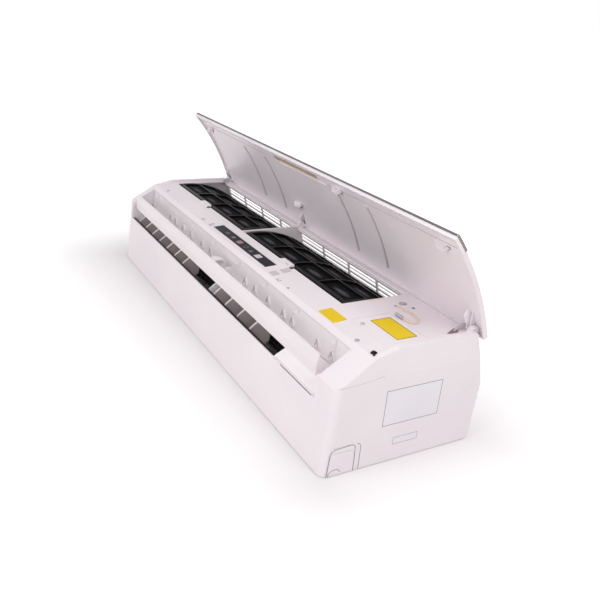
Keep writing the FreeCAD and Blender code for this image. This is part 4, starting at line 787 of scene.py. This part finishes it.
bead = ((-462, 462, 93, 94.4, 1), (-462, -460.6, 94, 262, 16), (460.6, 462, 94, 262, 16))
rib_shades = [(x - 2.7, x + 7.5, 120, 248, 14) for x in (-252, -155, 130, 222)]
slot_shades = [strip for x, z in HOOKS for strip in ((x + 4.6, x + 11, z - 2.6, z + 2.6, 1),
                                               (x - 4, x + 4, z + 3.4, z + 7.4, 1))]
panel_piece("panel_bead", bead, 1.2, "panel_white")
panel_piece("panel_fold_lines", rib_shades, 0.45, "fold_grey")
panel_piece("panel_trim_edge", [(-467.5, 467.5, 78.88, 79.0, 1)], 2.4, "edge_grey", "trim_grey", 0.0)
panel_piece("panel_hook_slots", slot_shades, 0.4, "slot_dark")
bm = bmesh.new()
for x, z in HOOKS:
    corners = ((x - 24, PANEL_SKIN), (x + 9, PANEL_SKIN), (x + 4, 13.0), (x - 9, 13.0))
    low, top = [on_panel(x, panel_y(z, PANEL_SKIN), z + half) for half in (-1.6, 1.6)]
    plate_mesh(bm, [on_panel(u, panel_y(z, lift), z - 1.6) for u, lift in corners], top - low)
add_piece("panel_clips", bm, "panel_white", "panel", "panel_white")
panel_piece("panel_window_lip", [(-72, 106, 110.6, 112.6, 1)], 2.6, "base_white")
panel_piece("panel_edge_step", [(-455, -91, 108, 109.2, 1), (78, 455, 108, 109.2, 1)], 0.5, "fold_grey")
print("panel pieces", [name for name in made if name.startswith("panel")])

# %% [markdown]
# Screws, ejector marks and gussets repeat, so a tree places them: it sets a small template on a cloud of
# points and turns it along each point's normal. The points carry that normal as an attribute, so the same
# tree serves a flat ledge and a curved panel.

# %% Tree that sets a template on points
scatter, scatter_in, scatter_out = geometry_tree("set on points", {
    "Template": "Object", "Spots": "Object", "Size": 1.0, "Finish": "Material"})
given = scatter_in.outputs
shape = wire(scatter, "GeometryNodeObjectInfo", {"Object": given["Template"], "As Instance": True})
cloud = wire(scatter, "GeometryNodeObjectInfo", {"Object": given["Spots"]})
facing = wire(scatter, "GeometryNodeInputNamedAttribute", {"Name": "facing"}, data_type="FLOAT_VECTOR")
aim = out_of(scatter, "FunctionNodeAlignRotationToVector", {"Vector": facing.outputs["Attribute"]}, axis="Z")
set_out = out_of(scatter, "GeometryNodeInstanceOnPoints", {
    "Points": cloud.outputs["Geometry"], "Instance": shape.outputs["Geometry"], "Rotation": aim,
    "Scale": vector(scatter, **{axis: given["Size"] for axis in "XYZ"})})
end_tree(scatter, set_out, given["Finish"], scatter_out)


def set_on_points(name, template, spots, normals, look):
    """One mesh of copies of a template, on points and along their normals."""
    points = bpy.data.meshes.new(name + " spots")
    points.from_pydata([tuple(p) for p in spots], [], [])
    attribute = points.attributes.new("facing", "FLOAT_VECTOR", "POINT")
    for i, normal in enumerate(normals):
        attribute.data[i].vector = normal
    helpers = [scene_object(name + " template", template), scene_object(name + " spots", points)]
    mesh = grown_mesh(name, scatter, {
        "Template": helpers[0], "Spots": helpers[1], "Size": 1.0, "Finish": finishes[look]})
    for one in helpers:
        bpy.data.objects.remove(one)
    return mesh


print("tree", scatter.name, "has", len(scatter.nodes), "nodes")

# %% [markdown]
# The casing is held by six screws. A head is a shape of revolution, so it is turned from a profile like a
# part on a lathe, and two crossed plates draw its recess. Five heads sit on the ledge and one holds the
# sensor's clip.

# %% Screw heads


def turned(profile, sides=20, hollow=False):
    """Shape of revolution about Z from a profile of radius and height, closed at its ends or a ring."""
    bm = bmesh.new()
    loops = [[Vector((u, v, height)) / 1000 for u, v in ring(radius, sides)] for radius, height in profile]
    tube_mesh(bm, loops, hollow=hollow)
    return bm


SENSOR_SCREW = (330, FACE_Y, 217)
bm = turned(((2.0, -5.0), (2.0, 0.3), (3.5, 0.35), (3.55, 0.9), (3.2, 1.5), (2.4, 1.95), (1.5, 2.05),
             (1.25, 1.0), (0.5, 0.7)))
for angle in (0, 90):
    turn = Matrix.Rotation(math.radians(angle), 3, "Z")
    recess = [turn @ Vector((u / 1000, v / 1000, 0.00206)) for u, v in rounded(4.6, 0.9, 0.3, 2)]
    plate_mesh(bm, recess, Vector((0, 0, 0.00003)))
spots = [at(x, ledge_y(z), z) for x, z in ((448, 78), (410, 76), (-399, 80), (-135, 77))]
spots += [at(*SENSOR_SCREW), at(371, ledge_y(111, 0.2), 111)]
ledge_out = Vector((0, -51, -4)).normalized()
normals = [ledge_out] * 4 + [Vector((0, -1, 0)), ledge_out]
finishes["screw_pale"] = metal("screw pale", (204, 199, 204), (182, 177, 183), 0.4, (60.0, 60.0, 60.0), 0.5)
mesh = set_on_points("casing_screw_heads", finished_mesh("screw head", bm), spots, normals, "screw_pale")
add_piece("casing_screw_heads", mesh, "screw_pale", "casing", "steel", "casing_screws")
print("screw heads", len(spots), "faces", len(mesh.polygons))

# %% [markdown]
# Pins push the panel out of its mould and leave round marks on the inside. A mark is a very low turned
# dish, and its normal points to the axis of the panel's arc.

# %% Ejector marks on the panel
MARK_INSET = 3.0
mark = turned(((4.2, -0.1), (4.2, 0.25), (3.6, 0.3), (3.3, 0.12), (0.4, 0.1)), 16)
spots, normals = [], []
for x in (-390, -310, -205, -110, 20, 85, 175, 280, 350, 410):
    for z in (140, 205, 248):
        spots.append(on_panel(x, panel_y(z, MARK_INSET), z))
        slope = (z - ARC_Z) / (ARC_RADIUS - MARK_INSET)
        normals.append(OPEN @ Vector((0, math.sqrt(1 - slope * slope), -slope)))
mesh = set_on_points("panel_ejector_marks", finished_mesh("ejector mark", mark), spots, normals, "panel_white")
add_piece("panel_ejector_marks", mesh, "panel_white", "panel", "panel_white")
print("ejector marks", len(spots))

# %% [markdown]
# The room sensor hangs on a thin lead that leaves a hole in the front and lies in a loose bow on the face.
# A lead is one smooth curve, so it is a NURBS spline with a round bevel. The silver ring beside it is a
# clip round the screw, and the sensor's bulb stays the CAD solid.

# %% Sensor lead and clip ring
LEAD_Y = -182.7
route = [(333, -168, 201)] + [(x, LEAD_Y, z) for x, z in (
    (333, 201), (352, 200), (369, 205), (388, 203), (401, 194), (399, 180), (376, 179))]
lead = bpy.data.curves.new("sensor_lead_bow", "CURVE")
lead.dimensions = "3D"
lead.resolution_u = 10
lead.bevel_depth = 0.0011
lead.bevel_resolution = 3
spline = lead.splines.new("NURBS")
spline.points.add(len(route) - 1)
for point, spot in zip(spline.points, route):
    point.co = (*at(*spot), 1.0)
spline.order_u = 3
spline.use_endpoint_u = True
lead_piece = add_piece("sensor_lead_bow", lead, "lead_brown", "casing", "lead_brown", "sensor_lead")
clip = turned(((4.4, 0.0), (6.5, 0.0), (6.6, 0.5), (6.0, 0.9), (5.0, 0.9), (4.4, 0.5)), 28, True)
clip.transform(Matrix.Translation(at(*SENSOR_SCREW)) @ Matrix.Rotation(math.radians(90), 4, "X"))
add_piece("clip_ring", clip, "sensor_silver", "casing", "sensor_silver")

# %% [markdown]
# The end faces show the outline of the cut-out for pipes and a long soft crease, drawn as a faint grey
# line of painted shade. Each is a line of one width along a path, raised by a few hundredths of a millimetre,
# so that it shows without cutting the solid.

# %% Lines on the end faces
plastics(
    ("seam grey", (136, 128, 136), (122, 115, 123), 0.5),
    # This faint grey is painted shade along the crease.
    ("seam pale", (224, 216, 222), (218, 210, 217), 0.5),
    # This grey is painted shade: in the button pocket, under the gussets and on the hinge ears.
    ("pocket grey", (208, 199, 203), (196, 188, 192), 0.5))
cuts = (
    ((-0.8, 9), (-36, 12), (-41.5, 14), (-44.5, 19), (-46, 47), (-44.8, 51.2), (-41, 53.2), (-0.8, 54)),
    ((-46, 56.5), (-44.2, 60.6), (-39, 62.8), (-0.8, 62.8)),
    ((-0.8, 11.5), (-6, 12.6), (-10, 18), (-10, 27), (-5, 32)),
)
creases = (((-142, 14), (-143, 40), (-145.5, 68), (-149, 88)),)
for side, x, out in (("right", 470, 1), ("left", -470, -1)):
    for name, paths, width, look in (
        ("cut_out_lines_", cuts, 1.0, "seam_grey"),
        ("end_crease_", creases, 1.2, "seam_pale"),
    ):
        bm = bmesh.new()
        for path in paths:
            line_mesh(bm, path, width, lambda y, z, high: at(x + out * high, y, z))
        add_piece(name + side, bm, look)
print("end face lines", made[-4:])

# %% [markdown]
# The ledge carries a grey plate below and above the button, the painted shade of its pocket, and a few
# moulded marks: open squares and triangles. They are outlines laid on the slope of the ledge. One more small
# boss sits on the face near the sensor.

# %% Marks on the ledge
pockets = [on_ledge(rectangle(*edges)) for edges in ((134, 152, 74, 88), (133, 150, 96, 112))]
add_plates("button_pocket", pockets, PRINT, "pocket_grey")
bm = bmesh.new()
for x, z in ((-176, 79), (172, 75)):
    line_mesh(bm, ((x - 4, z + 3), (x - 4, z - 3), (x + 4, z - 3), (x + 4, z + 3)), 1.8,
              lambda u, v, high: at(u, ledge_y(v, -high), v))
for x, z in ((208, 74), (-139, 86)):
    plate_mesh(bm, on_ledge(((-3.5, -2.5), (3.5, -2.5), (0, 3)), x, z), PRINT)
plate_mesh(bm, on_face(rounded(6, 4, 1), 350, 223), BOSS)
add_piece("ledge_marks", bm, "seam_grey")
print("ledge pieces", made[-2:])

# %% [markdown]
# A dark line near the right end of the outlet lip paints the shade of a slit there. The inlet grille has
# finer rods between its bars, and more hang under the front rim. A brown strip closes the end of the filter
# window. All are straight, so they are single lines or plates.

# %% Lip slit shade, grille rods and window strip
bm = bmesh.new()
# A dark line on the lip: painted shade of a slit.
line_mesh(bm, ((318, -102.5), (412, -102.5)), 1.5, lambda x, y, high: at(x, y, 7.48 - high), 0.12)
add_piece("lip_slit", bm, "slot_dark")
bm = bmesh.new()
for x0, x1 in ((-446, -72), (-64, 296)):
    for y in (-178.2, -174.2):
        line_mesh(bm, ((x0, y), (x1, y)), 0.8, lambda u, v, high: at(u, v, 247.5 - high), 2.2)
add_piece("grille_front_lines", bm, "base_white")
rods = [in_section(-446, rectangle(y - 0.7, y + 0.7, top, top - 1.8)) for y, top in (
    (-159, 259.4), (-143, 263.4), (-127, 267.4), (-111, 271.4), (-95, 274.5), (-79, 273.6), (-63, 272.7),
    (-47, 271.8))]
add_plates("grille_fine_rods", rods, Vector((0.742, 0, 0)), "base_white", "casing", "base_white")
add_plates("window_end_strip", [on_face(rectangle(300.4, 303.2, 168, 200))], PAPER, "lead_brown")
print("slit, rods and strip", made[-4:])

# %% [markdown]
# A black Y shape at the near corner of the ledge is drawn as a raised black plate. It is a rounded middle
# with three short arms, all cut from outlines and pushed out by the same 2.2 mm.

# %% Black Y at the corner
outlines = [on_ledge(rounded(7.4, 7.0, 2.6), 452, 76.5, -0.03)]
for arm in (Vector((-4.4, -2.4)), Vector((0.6, 4.4)), Vector((5.2, -3.4))):
    run = arm.normalized()
    wide = Vector((-run.y, run.x)) * 1.7
    outlines.append(on_ledge((wide, arm + wide * 0.7, arm - wide * 0.7, -wide), 453, 75.5, -0.03))
add_plates("corner_plug", outlines, Vector((0, -0.0022, 0)), "filter_black", "casing", "filter_black")
print("corner plug", made[-1])

# %% [markdown]
# The roof of the outlet recess carries a row of small gussets, each like a letter A seen from below. The
# tree that sets a template on points makes them twice: in white, and again for a grey line of painted shade
# along their lower edges. A thin lip runs behind them.

# %% Gussets and lip in the outlet recess
GUSSET_LEGS = ((Vector((0, 13)), Vector((6, 0))), (Vector((12, 13)), Vector((6, 0))))
gusset_x = (-323, -290, -243, -197, -136, -92, 73, 112, 164, 219, 250, 330, 372)
gusset_spots = [at(x, -147, 61.6) for x in gusset_x]
for name, high, low, half, look in (
    ("recess_gussets", 0.4, -5.0, 0.5, "base_white"),
    ("recess_gusset_edges", -4.9, -5.2, 0.55, "pocket_grey"),
):
    bm = bmesh.new()
    for foot, top in GUSSET_LEGS:
        run = (top - foot).normalized()
        wide = Vector((-run.y, run.x)) * half
        corners = (foot + wide, top + wide, top - wide, foot - wide)
        plate_mesh(bm, [Vector((*p, high)) / 1000 for p in corners], Vector((0, 0, low - high)) / 1000)
    normals = [Vector((0, 0, 1))] * len(gusset_spots)
    mesh = set_on_points(name, finished_mesh(name + " template", bm), gusset_spots, normals, look)
    add_piece(name, mesh, look, "casing", "base_white")
lip = ((-128.6, 60.4), (-127.6, 60.3), (-127.6, 55.8), (-128.6, 55.8))
add_plates("recess_lip", [in_section(-440, lip)], Vector((0.858, 0, 0)), "base_white", "casing", "base_white")
print("gussets", len(gusset_spots), "and", made[-1])

# %% [markdown]
# The louver is held in the middle by a bow: a curved band round the pivot with a thin web inside. It is
# drawn as arcs about the pivot, so it keeps clear of the recess when the louver swings.

# %% Louver bow
PIVOT, BOW_STEPS = (-134.0, 36.3), 14
bm = bmesh.new()
for x0, x1, inner, outer, start, end in ((-14, 8, 21.6, 23.0, 219, 135), (-3.4, -1.4, 6.0, 21.7, 217, 137)):
    inside, outside = [arc(PIVOT, radius, start, end, BOW_STEPS) for radius in (inner, outer)]
    tube_mesh(bm, [[at(x0, *p), at(x1, *p), at(x1, *q), at(x0, *q)] for p, q in zip(inside, outside)])
add_piece("louver_bow", bm, "louver_white", "louver", "louver_white")
print("louver bow", made[-1])

# %% [markdown]
# The panel turns on three arms. The casing has an ear at both ends, painted grey as shade, each arm has a
# cheek that turns with the panel, two of them with fine ribs, and a brown plate in the face paints the shade
# of the pocket that takes the near arm. These are thin plates too, cut from outlines across the length.

# %% Hinge ears, cheeks and pocket shade
# The brown of the hinge pocket plate is painted shade.
plastics(("pocket brown", (150, 128, 128), (128, 106, 106), 0.6))
ear = ((-180, 231), (-187.5, 237), (-191.5, 247), (-189.6, 252), (-181, 252))
for name, x in (("near", 436.0), ("far", -439.0)):
    add_plates("hinge_ear_" + name, [in_section(x, ear)], Vector((0.0026, 0, 0)), "pocket_grey")
cheek = ((-214, 247.5), (-204, 242.5), (-193, 249), (-186, 253), (-184, 265), (-205, 261))
rib_ends = ((-212, 249), (-209, 247), (-205.5, 245), (-201, 246), (-197, 249))
for name, x, ribs in (("near", 439.6, ()), ("middle", -63.0, rib_ends), ("far", -441.8, rib_ends)):
    bm = bmesh.new()
    plate_mesh(bm, in_section(x, cheek), Vector((0.0022, 0, 0)))
    for rib in ribs:
        line_mesh(bm, ((-188, 258), rib), 0.9, lambda u, v, high: at(x + 2.2 + high, u, v), 0.05, 1)
    add_piece("hinge_cheek_" + name, bm, "base_white seam_grey", "panel", "panel_white")
pocket_outline = ((441, 214), (444.5, 219), (444.5, 233), (440, 238), (433, 244), (430, 238))
add_plates("hinge_pocket", [on_face(pocket_outline)], PAPER, "pocket_brown")
print("hinge pieces", [name for name in made if name.startswith("hinge")])

# %% [markdown]
# The white surround is the surface that the unit lies on: one large plane behind the back, with a hole
# under the unit and seen from its front only. Close by it is a plain pale surface that keeps the soft
# contact shadow. A glow that only the camera sees grows with the distance from the unit, up to white, so
# the floor is painted darker round the unit: a painted shadow on top of the real one.

# %% Surround
FLOOR_Y = 0.0005


def seen_directly(tree, hidden, shown):
    """A strength that differs for what the camera sees, also in a reflection or through glass."""
    path = wire(tree, "ShaderNodeLightPath").outputs
    total = path["Is Camera Ray"]
    for label in ("Is Glossy Ray", "Is Transmission Ray"):
        total = sums(tree, "MAXIMUM", total, path[label])
    return ranged(tree, total, hidden, shown, 0.0, 1.0)


floor_mesh = bpy.data.meshes.new("surround")
corners = rectangle(-9, 9, -9, 9) + rectangle(-0.45, 0.45, -0.17, 0.065)
sides = [(i, (i + 1) % 4, 4 + (i + 1) % 4, 4 + i) for i in range(4)]
floor_mesh.from_pydata([(x, FLOOR_Y, z) for x, z in corners], [], sides)
floor = scene_object("surround", floor_mesh)
pale, shader, tree = blank_finish("surround pale")
feed(tree, shader, {"Base Color": paint(243, 240, 241), "Roughness": 0.9, "Specular IOR Level": 0.0})
# Distance from the unit's footprint; the weak glow near the unit is a painted shadow.
away = own_place(tree)
for operation, values in (("ADD", (0, 0, 0.0525)), ("ABSOLUTE", (0, 0, 0)), ("SUBTRACT", (0.47, 1.0, 0.1375)),
                          ("MAXIMUM", (0, 0, 0))):
    away = out_of(tree, "ShaderNodeVectorMath", {0: away, 1: values}, operation=operation)
far = wire(tree, "ShaderNodeVectorMath", {0: away}, operation="LENGTH").outputs["Value"]
strength = sums(tree, "MULTIPLY", ranged(tree, far, 0.0, 0.6, 0.0, 0.36), seen_directly(tree, 0.0, 1.0))
glow = out_of(tree, "ShaderNodeEmission", {"Strength": strength})
lit = out_of(tree, "ShaderNodeAddShader", {0: shader.outputs[0], 1: glow})
clear = out_of(tree, "ShaderNodeBsdfTransparent")
behind = wire(tree, "ShaderNodeNewGeometry").outputs["Backfacing"]
mix = out_of(tree, "ShaderNodeMixShader", {0: behind, 1: lit, 2: clear})
feed(tree, tree.nodes["Material Output"], {"Surface": mix})
floor_mesh.materials.append(pale)
print("surround nodes", len(tree.nodes))

# %% [markdown]
# The light of the picture is soft and comes from all sides. The world is white to the camera and weaker as
# a light, and five square soft boxes in front, above, behind and at the near end add what it lacks.

# %% World and lamps
world = bpy.data.worlds.new("studio")
bpy.context.scene.world = world
world.use_nodes = True
tree = world.node_tree
feed(tree, tree.nodes["Background"], {"Color": (1, 1, 1, 1), "Strength": seen_directly(tree, 0.57, 1.0)})
for name, spot, aim, size, watts in (
    ("front box", (0.3, -1.1, -2.3), (-0.1, -0.1, 0), 2.0, 18),
    ("overhead box", (-0.8, -2.2, 0.6), (0.1, 0, 0), 1.2, 3.2),
    ("back box", (0.1, -1.8, 1.8), (0, 0, 0), 1.4, 6),
    ("near box", (0.72, -1.1, -0.05), (0.5, -0.2, -0.02), 0.5, 2.5),
    ("end box", (2.6, -1.0, -0.2), (0.4, -0.1, 0), 1.6, 7.4),
):
    light = bpy.data.lights.new(name, "AREA")
    light.shape = "RECTANGLE"
    light.size = light.size_y = size
    light.energy = watts
    toward = (Vector(aim) - Vector(spot)).to_track_quat("-Z", "Y").to_matrix().to_4x4()
    scene_object(name, light).matrix_world = Matrix.Translation(Vector(spot)) @ toward

# %% [markdown]
# Last the view layer is updated and the number of added pieces is printed.

# %% Finish
bpy.context.view_layer.update()
print("pieces", len(made))
